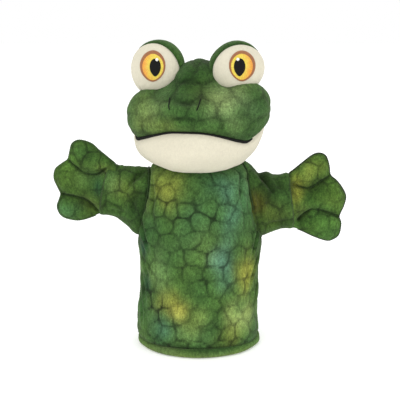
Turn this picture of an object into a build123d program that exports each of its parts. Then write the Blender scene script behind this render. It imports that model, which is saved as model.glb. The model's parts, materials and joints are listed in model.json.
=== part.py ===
from build123d import *
import os
from math import cos, radians, sin, sqrt, tan

# A plush frog glove puppet standing on its hem. Millimetres, +Z up, the face looks along -Y.
# The origin is the middle of the puppet's footprint, on the surface that the hem stands on.
# "left" and "right" are the puppet's own, so left is +X.

# ---- driving dimensions ------------------------------------------------------------------
BODY_Y = 4.0            # the sleeve's axis stands this far behind the middle of the head
PLUSH = 1.6             # thickness of the plush fabric
LINING = 0.9            # thickness of the lining fabric
GAP = 0.4               # room left between two layers of fabric
HEM_HEIGHT = 8.0        # height of the rolled hem band
HEM_A, HEM_B = 57.0, 48.5      # half width and half depth of the hem band
HEM_ROLL = 6.0          # radial thickness of the hem roll
HEM_ROUNDING = 2.0      # radius of the hem roll's rounded edges
# the sleeve's half width at each height
SLEEVE = [
    (8.4, 55.0), (40.0, 54.0), (75.0, 54.0), (106.0, 56.0), (122.0, 53.0),
    (137.0, 49.0), (147.0, 44.0), (152.4, 38.0), (155.4, 30.5),
]
SLEEVE_FLATNESS = 0.83  # half depth over half width
SIDE_SEAM_PROUD = 0.8   # how far a side seam's ridge stands out
SIDE_SEAM_HALF = 0.5    # half width of a side seam's ridge

NECK_Z = 166.0          # height of the neck's centre, where the head turns, tilts and nods
COLLAR_R = 27.0         # outer radius of the neck collar's dome
NECK_LAYER = 0.9        # thickness of the neck's gusset and seam layers
NECK_TOP = 16.0         # the neck layers end this far above the neck's centre
NECK_FOLD_LOW = 4.0     # the gusset and the seam start this far above it
SOCKET_R = COLLAR_R + 2 * NECK_LAYER + 3 * GAP    # radius of the hollow under the head

HEAD_YAW = -12.0        # the head is turned a little towards the puppet's right
HEAD_Z = 209.0          # height of the middle of the head
HEAD_A, HEAD_B, HEAD_C = 63.0, 56.0, 46.5    # half width, half depth, half height of the head
BROW_Y, BROW_Z = 4.0, 232.0
BROW_A, BROW_B, BROW_C = 36.0, 36.0, 32.5    # the crown's bulge between the eyes
BACK_SEAM_Y = 18.0      # the back-of-head panel starts behind this plane
MOUTH_MID_Z = 206.5     # the mouth line's height at the nose
MOUTH_DROP = 11.0       # how much lower its corners are
MOUTH_HALF = 51.5       # half the mouth's width
MOUTH_CORNER_Y = -21.0  # the mouth's corners are this far forward
JAW_RISE = 0.62         # slope at which the jaw's seam climbs behind the mouth's corners
MOUTH_THREAD_R = 1.1
MOUTH_POINTS = 13       # how many places the mouth line is laid through
NOSTRIL_X = 14.0        # half the distance between the nostril stitches
NOSTRIL_Z = (226.0, 235.0)
NOSTRIL_LEAN = 1.5
NOSTRIL_R = 0.8
POCKET_R = 12.0         # inner radius of the head's finger pocket
POCKET_TOP_Z = 240.0

EYE_X, EYE_Y, EYE_Z = 39.0, -8.0, 257.5      # an eye's middle, in the head's own directions
EYE_A, EYE_B, EYE_C = 24.0, 20.0, 23.5       # an eye's half width, half depth, half height
EYE_FABRIC = 1.2
EYE_SEAM_OUT = 28.0     # the seam of the eye's front faces this far outwards, in degrees
EYE_SEAM_DOWN = 12.0    # and this far downwards
IRIS_A, IRIS_C = 12.0, 13.8    # half width and half height of the iris with its rim
IRIS_RIM = 1.4          # width of the iris's rim
PUPIL_A, PUPIL_C = 5.2, 8.4
HIGHLIGHT_R = 1.6
PATCH = 0.5             # thickness of an embroidered patch
IRIS_UP = 2.0           # the iris looks this far upwards, in degrees

SHOULDER_X, SHOULDER_Z = 50.0, 131.0         # the middle of an armhole
ARMHOLE_H, ARMHOLE_W = 21.0, 14.0            # half height and half depth of an armhole
ARMHOLE_RING = 1.2      # width of the armhole seam
ARMHOLE_LEAN = 11.0     # the armhole faces this far upwards, in degrees
ARMHOLE_PROUD = 3.4     # the arm's fabric starts this far outside the armhole's middle
ARM_LENGTH = 37.0       # armhole to wrist
# the arm's half height at each distance along it
ARM = [(-6.0, 20.4), (8.0, 21.6), (20.0, 22.6), (33.0, 23.0)]
ARM_FLATNESS = 0.5      # half depth over half height
ARM_CONE = 50.0         # the arm's panels stay within this cone about the arm, in degrees
ARM_ELEVATION = {"left": 6.0, "right": 21.0}     # how far each arm is raised
HAND_ELEVATION = {"left": 6.0, "right": 17.0}     # how far each hand is raised
HAND_START = 5.0        # the hand's panels start this far past the wrist
HAND_FABRIC = 1.3
# the hand's lobes: direction, distance from the wrist, half length, half width, half thickness
HAND_LOBES = [
    (0.0, 17.0, 15.0, 22.0, 9.5),
    (49.5, 31.0, 20.0, 13.5, 9.3),
    (0.0, 31.0, 19.0, 14.0, 9.8),
    (-53.5, 28.0, 19.0, 13.5, 9.3),
]
CREASE_DIRECTIONS = (25.5, -27.5)     # the stitched lines between the fingers
CREASE_FROM, CREASE_TO = 13.0, 29.0   # their distance from the wrist
CREASE_THREAD_R = 0.5
CREASE_LIFT = 1.1       # height of a crease thread's middle over the fabric
CREASE_POINTS = 7       # how many places each crease thread is laid through
EDGE_SEAM_PROUD, EDGE_SEAM_HALF = 0.8, 0.45
FAR = 800.0             # much larger than the puppet

NECK_CENTRE = Vector(0, BODY_Y, NECK_Z)
SIDES = {"left": 1, "right": -1}
nodes = {}


# ---- helpers -----------------------------------------------------------------------------
def ellipsoid(a, b, c, centre=(0, 0, 0)):
    return Pos(*centre) * scale(Sphere(1), by=(a, b, c))


def evenly(first, last, count):
    """Evenly spaced numbers, both ends included."""
    return [first + (last - first) * i / (count - 1) for i in range(count)]


def slab(axis, low, high):
    """Everything between two heights along X, Y or Z."""
    size = [FAR, FAR, FAR]
    middle = [0, 0, 0]
    index = "XYZ".index(axis)
    size[index] = high - low
    middle[index] = (high + low) / 2
    return Pos(*middle) * Box(*size)


def at_head(shape):
    """Turns a shape from the head's own directions into the puppet's."""
    return Rot(0, 0, HEAD_YAW) * shape


def turned_tube(profile, outside, inside):
    """A round tube about Z, between two walls that stand off from the profile."""
    outer = Spline(*[(radius + outside, height) for height, radius in profile])
    inner = Spline(*[(radius + inside, height) for height, radius in profile])
    outline = outer + Line(outer @ 1, inner @ 1) + inner + Line(inner @ 0, outer @ 0)
    return revolve(Plane.XZ * make_face(outline), axis=Axis.Z)


def as_sleeve(shape):
    """Flattens a round shape to the sleeve's oval and stands it on the sleeve's axis."""
    return Pos(0, BODY_Y, 0) * scale(shape, by=(1, SLEEVE_FLATNESS, 1))


def armhole_cylinder(grow):
    """A cylinder along X through both armholes of the sleeve before it is flattened."""
    half_depth = (ARMHOLE_W + grow) / SLEEVE_FLATNESS
    plane = Plane((-FAR / 2, 0, SHOULDER_Z), x_dir=(0, 1, 0), z_dir=(1, 0, 0))
    return extrude(plane * Ellipse(half_depth, ARMHOLE_H + grow), amount=FAR)


def neck_zone(outer, thickness, low):
    """A band of a spherical shell about the neck's centre."""
    shell = Sphere(outer) - Sphere(outer - thickness)
    return Pos(*NECK_CENTRE) * (shell & slab("Z", low, NECK_TOP))


# ---- sleeve ------------------------------------------------------------------------------
def make_hem():
    outer = Ellipse(HEM_A, HEM_B)
    inner = Ellipse(HEM_A - HEM_ROLL, HEM_B - HEM_ROLL)
    band = extrude(Pos(0, BODY_Y) * (outer - inner), amount=HEM_HEIGHT)
    return fillet(band.edges(), HEM_ROUNDING)


def make_sleeve():
    """The sleeve's pieces are cut from round tubes, which are flattened last."""
    holes = armhole_cylinder(ARMHOLE_RING + GAP)
    shell = turned_tube(SLEEVE, 0, -PLUSH) - holes
    lining = turned_tube(SLEEVE, -PLUSH - GAP, -PLUSH - GAP - LINING) - holes
    ridge = turned_tube(SLEEVE, SIDE_SEAM_PROUD, -PLUSH)
    seam_half = SIDE_SEAM_HALF / SLEEVE_FLATNESS
    seam_room = seam_half + GAP / 2
    nodes["body_front_panel"] = as_sleeve(shell & slab("Y", -FAR, -seam_room))
    nodes["body_back_panel"] = as_sleeve(shell & slab("Y", seam_room, FAR))
    nodes["body_front_lining"] = as_sleeve(lining & slab("Y", -FAR, -GAP / 2))
    nodes["body_back_lining"] = as_sleeve(lining & slab("Y", GAP / 2, FAR))
    seams = (ridge & slab("Y", -seam_half, seam_half) & slab("Z", 0, SHOULDER_Z)) - holes
    rings = ridge & (armhole_cylinder(ARMHOLE_RING) - armhole_cylinder(0))
    for name, side in SIDES.items():
        half = slab("X", 0, FAR) if side > 0 else slab("X", -FAR, 0)
        nodes[name + "_side_seam"] = as_sleeve(seams & half)
        nodes[name + "_armhole_seam"] = as_sleeve(rings & half)
    nodes["hem_band"] = make_hem()


# ---- neck --------------------------------------------------------------------------------
def make_neck():
    collar_low = SLEEVE[-1][0] + GAP - NECK_Z
    nodes["neck_collar"] = neck_zone(COLLAR_R, PLUSH, collar_low)
    gusset_r = COLLAR_R + GAP + NECK_LAYER
    nodes["neck_gusset"] = neck_zone(gusset_r, NECK_LAYER, NECK_FOLD_LOW)
    seam_r = gusset_r + GAP + NECK_LAYER
    nodes["neck_seam"] = neck_zone(seam_r, NECK_LAYER, NECK_FOLD_LOW)


# ---- head, in its own directions until at_head() -------------------------------------------
def head_solid(grow):
    skull = ellipsoid(HEAD_A + grow, HEAD_B + grow, HEAD_C + grow, (0, 0, HEAD_Z))
    brow = ellipsoid(BROW_A + grow, BROW_B + grow, BROW_C + grow, (0, BROW_Y, BROW_Z))
    return skull + brow


def head_surface_y(x, z, grow=0.0):
    """How far forward the head's face stands at a place on it."""
    rest = 1 - (x / (HEAD_A + grow)) ** 2 - ((z - HEAD_Z) / (HEAD_C + grow)) ** 2
    return -(HEAD_B + grow) * sqrt(rest)


def mouth_z(x):
    return MOUTH_MID_Z - MOUTH_DROP * (x / MOUTH_HALF) ** 2


def mouth_region(grow, toward):
    """Everything below (toward 0) or above (toward FAR) the arch of the mouth line."""
    places = [FAR] + evenly(HEAD_A, -HEAD_A, MOUTH_POINTS) + [-FAR]
    arch = [(x, mouth_z(min(max(x, -HEAD_A), HEAD_A)) + grow) for x in places]
    outline = Polyline((FAR, toward), *arch, (-FAR, toward), close=True)
    return extrude(Plane.XZ * make_face(outline), amount=FAR, both=True)


def cheek_region(grow):
    """Everything behind the mouth's corners and below the seam that climbs there."""
    corner_z = mouth_z(MOUTH_HALF) + grow
    run = FAR / 4
    outline = Polyline(
        (MOUTH_CORNER_Y, corner_z), (MOUTH_CORNER_Y + run, corner_z + run * JAW_RISE),
        (MOUTH_CORNER_Y + run, 0), (MOUTH_CORNER_Y, 0), close=True,
    )
    return extrude(Plane.YZ * make_face(outline), amount=FAR, both=True)


def make_head():
    socket = Rot(0, 0, -HEAD_YAW) * Pos(*NECK_CENTRE) * Sphere(SOCKET_R)
    skin = head_solid(0) - head_solid(-PLUSH) - socket
    front = skin & slab("Y", -FAR, BACK_SEAM_Y - GAP / 2)
    nodes["head_back_panel"] = at_head(skin & slab("Y", BACK_SEAM_Y + GAP / 2, FAR))
    nodes["jaw_panel"] = at_head(front & (mouth_region(-GAP / 2, 0) + cheek_region(-GAP / 2)))
    nodes["upper_face_panel"] = at_head((front & mouth_region(GAP / 2, FAR)) - cheek_region(GAP / 2))
    pocket_depth = POCKET_TOP_Z - NECK_Z
    axis = Pos(0, BODY_Y, NECK_Z + pocket_depth / 2)
    bore = axis * Cylinder(POCKET_R + LINING + GAP, pocket_depth + 2 * GAP)
    tube = axis * Cylinder(POCKET_R + LINING, pocket_depth)
    finger_room = Pos(0, 0, -LINING) * (axis * Cylinder(POCKET_R, pocket_depth))
    world_socket = Pos(*NECK_CENTRE) * Sphere(SOCKET_R)
    filling = at_head(head_solid(-PLUSH - GAP)) - world_socket - bore
    nodes["head_filling"] = filling
    nodes["finger_pocket"] = tube - finger_room - world_socket


def thread(points, radius):
    """A round thread through some points."""
    path = Spline(*points)
    section = Plane(origin=path @ 0, z_dir=path % 0) * Circle(radius)
    return sweep(section, path=path)


def make_face_stitches():
    lift = MOUTH_THREAD_R + GAP / 4
    places = evenly(-MOUTH_HALF, MOUTH_HALF, MOUTH_POINTS)
    line = [(x, head_surface_y(x, mouth_z(x), lift), mouth_z(x)) for x in places]
    nodes["mouth_stitch"] = at_head(thread(line, MOUTH_THREAD_R))
    low, high = NOSTRIL_Z
    middle = (low + high) / 2
    for name, side in SIDES.items():
        spots = [(side * (NOSTRIL_X - NOSTRIL_LEAN), low), (side * NOSTRIL_X, middle),
                 (side * (NOSTRIL_X + NOSTRIL_LEAN), high)]
        line = [(x, head_surface_y(x, z, NOSTRIL_R + GAP / 2), z) for x, z in spots]
        nodes[name + "_nostril_stitch"] = at_head(thread(line, NOSTRIL_R))


# ---- eyes --------------------------------------------------------------------------------
def eye_solid(side, grow):
    return ellipsoid(EYE_A + grow, EYE_B + grow, EYE_C + grow, (side * EYE_X, EYE_Y, EYE_Z))


def patch_cylinder(side, a, c, out=0.0, up=0.0):
    """An elliptical cylinder along the eye's line of sight."""
    line_of_sight = Plane((side * EYE_X + out, EYE_Y, EYE_Z + up), x_dir=(1, 0, 0), z_dir=(0, -1, 0))
    looking = Rot(-IRIS_UP, 0, 0)
    return extrude(line_of_sight * looking * Ellipse(a, c), amount=2 * EYE_B)


def make_eye(name, side):
    out, down = radians(EYE_SEAM_OUT), radians(EYE_SEAM_DOWN)
    facing = (side * sin(out) * cos(down), -cos(out) * cos(down), -sin(down))
    centre = (side * EYE_X, EYE_Y, EYE_Z)
    seam_plane = Plane(centre, z_dir=facing)
    ahead = seam_plane * Pos(0, 0, FAR / 2 + GAP / 2) * Box(FAR, FAR, FAR)
    behind = seam_plane * Pos(0, 0, -FAR / 2 - GAP / 2) * Box(FAR, FAR, FAR)
    head = head_solid(GAP)
    skin = eye_solid(side, 0) - eye_solid(side, -EYE_FABRIC) - head
    nodes[name + "_eye_front"] = at_head(skin & ahead)
    nodes[name + "_eye_back"] = at_head(skin & behind)
    nodes[name + "_eye_filling"] = at_head(eye_solid(side, -EYE_FABRIC - GAP) - head)
    layer = eye_solid(side, PATCH + GAP / 4) - eye_solid(side, GAP / 4)
    rim_hole = patch_cylinder(side, IRIS_A - IRIS_RIM, IRIS_C - IRIS_RIM)
    iris_edge = patch_cylinder(side, IRIS_A - IRIS_RIM - GAP / 4, IRIS_C - IRIS_RIM - GAP / 4)
    pupil_hole = patch_cylinder(side, PUPIL_A + GAP / 4, PUPIL_C + GAP / 4)
    nodes[name + "_iris_rim"] = at_head(layer & (patch_cylinder(side, IRIS_A, IRIS_C) - rim_hole))
    nodes[name + "_iris"] = at_head(layer & (iris_edge - pupil_hole))
    nodes[name + "_pupil"] = at_head(layer & patch_cylinder(side, PUPIL_A, PUPIL_C))
    top_layer = eye_solid(side, 2 * PATCH + GAP / 2) - eye_solid(side, PATCH + GAP / 2)
    spot = patch_cylinder(side, HIGHLIGHT_R, HIGHLIGHT_R, 0, PUPIL_C / 2)
    nodes[name + "_eye_highlight"] = at_head(top_layer & spot)


# ---- arms and hands, made on the left and mirrored for the right -----------------------------
def direction(elevation):
    angle = radians(elevation)
    return Vector(cos(angle), 0, sin(angle))


def arm_wedge(back_off):
    """The room that the arm's panels keep to, so that the arm can swing and lift: a pyramid
    with its point on the shoulder's centre, about Z, before the arm is flattened."""
    length = 2 * ARM_LENGTH
    spread = length * tan(radians(ARM_CONE))
    wedges = []
    for plane, wide in ((Plane.XZ, spread), (Plane.YZ, spread / ARM_FLATNESS)):
        outline = Polyline((0, -back_off), (wide, length - back_off), (-wide, length - back_off), close=True)
        wedges.append(extrude(plane * make_face(outline), amount=FAR, both=True))
    return wedges[0] & wedges[1]


def outside_armhole(elevation):
    """Everything on the arm's side of the armhole, which leans by ARMHOLE_LEAN."""
    lean = Rot(0, elevation - ARMHOLE_LEAN, 0)
    return lean * slab("Z", ARMHOLE_PROUD, FAR)


def hand_solid(grow):
    """Three fat fingers and a palm, pointing along X from the wrist."""
    round_lobe = Rot(90, 0, 0) * Sphere(1)      # its poles face the palm and the back of the hand
    lobes = [
        Rot(0, -angle, 0)
        * Pos(distance, 0, 0)
        * scale(round_lobe, by=(length + grow, thickness + grow, width + grow))
        for angle, distance, length, width, thickness in HAND_LOBES
    ]
    return lobes[0] + lobes[1:]


def hand_half_thickness(x, z):
    """Half the hand's thickness at a place on it."""
    best = 0.0
    for angle, distance, length, width, thickness in HAND_LOBES:
        turn = radians(angle)
        u = x * cos(turn) + z * sin(turn) - distance
        v = z * cos(turn) - x * sin(turn)
        rest = 1 - (u / length) ** 2 - (v / width) ** 2
        if rest > 0:
            best = max(best, thickness * sqrt(rest))
    return best


def crease_threads(angle):
    """The stitched line beside a finger, on both faces of the hand."""
    turn = radians(angle)
    pair = []
    for face in (-1, 1):
        points = []
        for reach in evenly(CREASE_FROM, CREASE_TO, CREASE_POINTS):
            x, z = reach * cos(turn), reach * sin(turn)
            points.append((x, face * (hand_half_thickness(x, z) + CREASE_LIFT), z))
        pair.append(thread(points, CREASE_THREAD_R))
    return Compound(children=pair)


def make_hand():
    """A hand that points along X from its wrist at the origin."""
    hand = {}
    past_wrist = slab("X", HAND_START, FAR)
    skin = (hand_solid(0) - hand_solid(-HAND_FABRIC)) & past_wrist
    hand["hand_front_panel"] = skin & slab("Y", -FAR, -GAP / 2)
    hand["hand_back_panel"] = skin & slab("Y", GAP / 2, FAR)
    wadding = hand_solid(-HAND_FABRIC - GAP) & slab("X", HAND_START + HAND_FABRIC, FAR)
    hand["hand_front_filling"] = wadding & slab("Y", -FAR, -GAP / 2)
    hand["hand_back_filling"] = wadding & slab("Y", GAP / 2, FAR)
    flange = hand_solid(EDGE_SEAM_PROUD) - hand_solid(GAP / 4)
    hand["hand_edge_seam"] = flange & slab("Y", -EDGE_SEAM_HALF, EDGE_SEAM_HALF) & past_wrist
    for which, angle in zip(("upper", "lower"), CREASE_DIRECTIONS):
        hand[which + "_finger_stitch"] = crease_threads(angle)
    return hand


def make_wrist_gusset(wrist, along, hand_along):
    """The short soft tube between the arm's end and the hand."""
    end_distance, end_height = ARM[-1]
    back = ARM_LENGTH - end_distance - GAP
    cuff = Plane(wrist - along * back, x_dir=(0, 1, 0), z_dir=along)
    start = Plane(wrist + hand_along * (HAND_START - GAP), x_dir=(0, 1, 0), z_dir=hand_along)
    walls = []
    for inset in (0, PLUSH):
        cuff_oval = Ellipse(end_height * ARM_FLATNESS - inset, end_height - inset)
        hand_oval = Ellipse(HAND_LOBES[0][-1] - inset, HAND_LOBES[0][-2] - inset)
        walls.append(loft([cuff * cuff_oval, start * hand_oval]))
    return walls[0] - walls[1]


def make_arm(name, side, hand):
    shoulder = Vector(SHOULDER_X, BODY_Y, SHOULDER_Z)
    along = direction(ARM_ELEVATION[name])
    frame = Plane(shoulder, x_dir=along.cross(Vector(0, -1, 0)), z_dir=along).location
    wrist = shoulder + along * ARM_LENGTH
    hand_along = direction(HAND_ELEVATION[name])
    hand_frame = Plane(wrist, x_dir=hand_along, z_dir=hand_along.cross(Vector(0, 1, 0))).location
    made = {part_name: hand_frame * shape for part_name, shape in hand.items()}

    wall = turned_tube(ARM, 0, -PLUSH)
    lining = turned_tube(ARM, -PLUSH - 2 * GAP, -PLUSH - 2 * GAP - LINING)
    panels = wall & arm_wedge(0)
    round_pieces = {
        "arm_front_panel": panels & slab("Y", -FAR, -GAP),
        "arm_back_panel": panels & slab("Y", GAP, FAR),
        "arm_lining": lining & arm_wedge(0),
        "shoulder_gusset": (wall & outside_armhole(ARM_ELEVATION[name])) - arm_wedge(2 * GAP),
    }
    for part_name, shape in round_pieces.items():
        made[part_name] = frame * scale(shape, by=(1, ARM_FLATNESS, 1))
    made["wrist_gusset"] = make_wrist_gusset(wrist, along, hand_along)
    for part_name, shape in made.items():
        nodes[f"{name}_{part_name}"] = shape if side > 0 else mirror(shape, about=Plane.YZ)


# ---- assembly ----------------------------------------------------------------------------
make_sleeve()
make_neck()
make_head()
make_face_stitches()
plain_hand = make_hand()
for side_name, side_sign in SIDES.items():
    make_eye(side_name, side_sign)
    make_arm(side_name, side_sign, plain_hand)

os.makedirs("parts", exist_ok=True)
for node_name, node_shape in nodes.items():
    export_step(node_shape, f"parts/{node_name}.step")
print(len(nodes), "nodes")
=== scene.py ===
"""A plush frog glove puppet: the looks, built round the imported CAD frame.

Shapes are worked out in millimetres and turned into metres when a mesh is made.
"left" is the puppet's own left, +X. Its face looks towards -Y.
"""
import json
import math

import bmesh
import bpy
import numpy as np
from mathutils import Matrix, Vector
from mathutils.bvhtree import BVHTree


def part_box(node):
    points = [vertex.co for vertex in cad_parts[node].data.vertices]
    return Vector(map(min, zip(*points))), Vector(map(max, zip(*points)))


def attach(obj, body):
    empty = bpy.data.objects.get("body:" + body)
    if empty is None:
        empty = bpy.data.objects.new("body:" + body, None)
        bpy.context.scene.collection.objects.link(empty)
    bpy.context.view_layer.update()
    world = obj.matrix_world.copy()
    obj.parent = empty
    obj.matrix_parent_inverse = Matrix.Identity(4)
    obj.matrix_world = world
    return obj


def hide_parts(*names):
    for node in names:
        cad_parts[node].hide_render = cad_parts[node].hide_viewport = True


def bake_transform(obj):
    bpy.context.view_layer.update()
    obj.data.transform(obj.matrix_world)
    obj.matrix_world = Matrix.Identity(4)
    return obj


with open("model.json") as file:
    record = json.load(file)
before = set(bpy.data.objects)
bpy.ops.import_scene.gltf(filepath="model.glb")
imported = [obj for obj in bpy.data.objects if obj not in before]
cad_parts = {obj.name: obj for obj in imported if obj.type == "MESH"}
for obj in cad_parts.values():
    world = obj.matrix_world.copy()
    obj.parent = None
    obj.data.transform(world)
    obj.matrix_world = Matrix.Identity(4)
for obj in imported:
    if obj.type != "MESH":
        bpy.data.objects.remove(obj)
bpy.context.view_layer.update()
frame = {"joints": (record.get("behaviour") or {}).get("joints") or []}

MM = 0.001
JOINTS = {j["name"]: np.array(j["pos_m"]) / MM for j in frame["joints"]}
NECK = JOINTS["head_turn"]                 # where the head turns on the neck
BODY_Y = NECK[1]                           # the sleeve's axis
HEAD_YAW = math.radians(-12)
SIDES = {"left": 1, "right": -1}


# ---- numbers and noise -------------------------------------------------------------------
def srgb(r, g, b):
    """A linear colour from 0-255 values."""
    c = np.array([r, g, b], float) / 255
    return np.where(c <= 0.04045, c / 12.92, ((c + 0.055) / 1.055) ** 2.4)


def smooth_step(x, low, high):
    t = np.clip((x - low) / (high - low), 0, 1)
    return t * t * (3 - 2 * t)


def bump(x, width):
    return np.exp(-((x / width) ** 2))


def waves(p, size, seed, count=14):
    """Smooth noise about -1 to 1 over points, with features of that size in millimetres."""
    r = np.random.default_rng(seed)
    total = np.zeros(p.shape[:-1])
    for _ in range(count):
        direction = r.normal(size=p.shape[-1])
        direction /= np.linalg.norm(direction)
        k = direction * 2 * math.pi / (size * r.uniform(0.8, 2.2))
        total += np.sin(p @ k + r.uniform(0, 2 * math.pi))
    return total / math.sqrt(count / 2) / 1.5


def curve_points(points, count, closed=False):
    """count points along a Catmull-Rom curve through the given ones, evenly spaced."""
    p = np.array(points, float)
    n = len(p)
    spans = n if closed else n - 1
    dense = []
    for i in range(spans):
        if closed:
            a, b, c, d = p[i - 1], p[i], p[(i + 1) % n], p[(i + 2) % n]
        else:
            b, c = p[i], p[i + 1]
            a = p[i - 1] if i else 2 * b - c
            d = p[i + 2] if i + 2 < n else 2 * c - b
        t = np.linspace(0, 1, 16, endpoint=False)[:, None]
        dense.append(0.5 * (2 * b + (c - a) * t + (2 * a - 5 * b + 4 * c - d) * t ** 2
                            + (3 * b - a - 3 * c + d) * t ** 3))
    dense = np.concatenate(dense + [p[:1] if closed else p[-1:]])
    along = np.concatenate([[0], np.cumsum(np.linalg.norm(np.diff(dense, axis=0), axis=1))])
    at = np.linspace(0, along[-1], count, endpoint=not closed)
    return np.stack([np.interp(at, along, dense[:, k]) for k in range(p.shape[1])], axis=1)


def line_distance(p, line):
    """Distance of each point from a line, and how far along it the nearest place is, 0 to 1."""
    best = np.full(p.shape[:-1], 1e9)
    where = np.zeros(p.shape[:-1])
    line = np.array(line, float)
    for i in range(len(line) - 1):
        d = line[i + 1] - line[i]
        t = np.clip(((p - line[i]) @ d) / max(d @ d, 1e-9), 0, 1)
        far = np.linalg.norm(p - line[i] - t[..., None] * d, axis=-1)
        nearer = far < best
        best = np.where(nearer, far, best)
        where = np.where(nearer, (i + t) / (len(line) - 1), where)
    return best, where


def jittered_seeds(low, high, step, jitter, seed):
    """Rows of cell middles like staggered bricks, moved a little at random."""
    r = np.random.default_rng(seed)
    rows = []
    y, row = low[1] - step[1], 0
    while y < high[1] + step[1]:
        x = low[0] - step[0] * (1.5 if row % 2 else 1.0)
        while x < high[0] + step[0]:
            rows.append([x + r.uniform(-1, 1) * jitter[0], y + r.uniform(-1, 1) * jitter[1]])
            x += step[0]
        y += step[1]
        row += 1
    return np.array(rows)


CELL_WOBBLE = 0.6       # how far the lines between the scales waver
CELL_ROUNDING = 1.1     # how round the scales' corners are
CELL_SEED = 5


def cells(uv, seeds):
    """For each point: the soft distance to the edge of its cell, and the cell's own number, -1 to 1."""
    flat = uv.reshape(-1, 2)
    wobble = np.stack([waves(flat, 11, CELL_SEED + 1), waves(flat, 11, CELL_SEED + 2)], axis=1)
    flat = flat + CELL_WOBBLE * wobble
    edge = np.zeros(len(flat))
    own = np.zeros(len(flat), int)
    for start in range(0, len(flat), 8000):
        part = flat[start:start + 8000]
        square = ((part[:, None] - seeds[None]) ** 2).sum(2)
        near = np.argpartition(square, 7, axis=1)[:, :8]
        near_square = np.take_along_axis(square, near, 1)
        order = np.argsort(near_square, axis=1)
        near = np.take_along_axis(near, order, 1)
        near_square = np.take_along_axis(near_square, order, 1)
        first = seeds[near[:, 0]]
        gap = np.linalg.norm(seeds[near[:, 1:]] - first[:, None], axis=2)
        d = (near_square[:, 1:] - near_square[:, :1]) / (2 * gap)
        edge[start:start + 8000] = -CELL_ROUNDING * np.log(np.exp(-d / CELL_ROUNDING).sum(1))
        own[start:start + 8000] = near[:, 0]
    tone = np.random.default_rng(CELL_SEED).uniform(-1, 1, len(seeds))[own]
    return edge.reshape(uv.shape[:-1]), tone.reshape(uv.shape[:-1])


def scale_relief(edge, rise, dip, width=1.2):
    """A printed scale stands up a little, and the line round it lies a little deeper."""
    return rise * smooth_step(edge, 0.3, 4.5) - dip * bump(np.clip(edge, 0, None), width)


def nap(p):
    """The uneven tips of the pile."""
    return 0.06 * waves(p, 2.6, 12, 24)


def fold_marks(at, folds, ends, press, puff, dark, dark_width, dark_power):
    """What folds do to cloth: how far it is pushed in or out, and how dark it gets.

    A fold fades along its length down to what is left the share ends from either end. press and dark_width
    are how wide its trough and its shadow are, as shares of its own width.
    """
    high, shade = np.zeros(at.shape[:-1]), np.ones(at.shape[:-1])
    for line, depth, width in folds:
        far, where = line_distance(at, line)
        fade = np.sin(math.pi * np.clip(where, ends, 1 - ends))
        high -= depth * fade ** 0.6 * bump(far, width * press)
        high += puff * depth * fade ** 0.6 * bump(far - width, width * 0.7)
        shade *= 1 - dark * depth * fade ** dark_power * bump(far, width * dark_width)
    return high, shade


# ---- meshes ------------------------------------------------------------------------------
def set_tint(mesh, tint):
    rgb = np.asarray(tint).reshape(-1, 3)
    rgba = np.concatenate([rgb, np.ones((len(rgb), 1))], axis=1)
    layer = mesh.attributes.new("tint", "FLOAT_COLOR", "POINT")
    layer.data.foreach_set("color", rgba.astype(np.float32).ravel())


MERGE = 0.02 * MM       # points nearer than this become one


def make_object(name, points, faces, tint=None, inner=None):
    """A mesh object from points in millimetres.

    tint is a linear colour for each point, and inner is 1 for the points of a cloth's inside.
    """
    mesh = bpy.data.meshes.new(name)
    points = np.asarray(points, float).reshape(-1, 3)
    mesh.from_pydata((points * MM).tolist(), [], [list(map(int, f)) for f in faces])
    mesh.update()
    rest = mesh.attributes.new("rest_co", "FLOAT_VECTOR", "POINT")
    rest.data.foreach_set("vector", (points * MM).astype(np.float32).ravel())
    if tint is not None:
        set_tint(mesh, tint)
    if inner is not None:
        mesh.attributes.new("inner", "FLOAT", "POINT").data.foreach_set(
            "value", np.asarray(inner, np.float32).ravel())
    bm = bmesh.new()
    bm.from_mesh(mesh)
    bmesh.ops.remove_doubles(bm, verts=bm.verts, dist=MERGE)
    bmesh.ops.dissolve_degenerate(bm, edges=bm.edges, dist=1e-7)
    bmesh.ops.recalc_face_normals(bm, faces=bm.faces)
    bm.to_mesh(mesh)
    bm.free()
    mesh.polygons.foreach_set("use_smooth", [True] * len(mesh.polygons))
    made = bpy.data.objects.new(name, mesh)
    bpy.context.scene.collection.objects.link(made)
    return made


def grid_faces(rows, columns, start=0, wrap=False):
    i, j = np.meshgrid(np.arange(rows - 1), np.arange(columns if wrap else columns - 1), indexing="ij")
    this, following = start + i * columns, (j + 1) % columns
    return np.stack([this + j, this + following, this + columns + following, this + columns + j],
                    axis=-1).reshape(-1, 4)


def tube_faces(count, sides):
    """The faces of a closed ring of count rows of points, with sides points in each row."""
    last, here = (count - 1) * sides, np.arange(sides)
    following = (here + 1) % sides
    close = np.stack([last + here, last + following, following, here], axis=1)
    return np.concatenate([grid_faces(count, sides, 0, True), close])


def ring_grid(heights, columns):
    """Rows at the heights, each all the way round: two grids, of the height and of the angle."""
    return np.meshgrid(heights, np.linspace(0, 2 * math.pi, columns, endpoint=False), indexing="ij")


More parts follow.
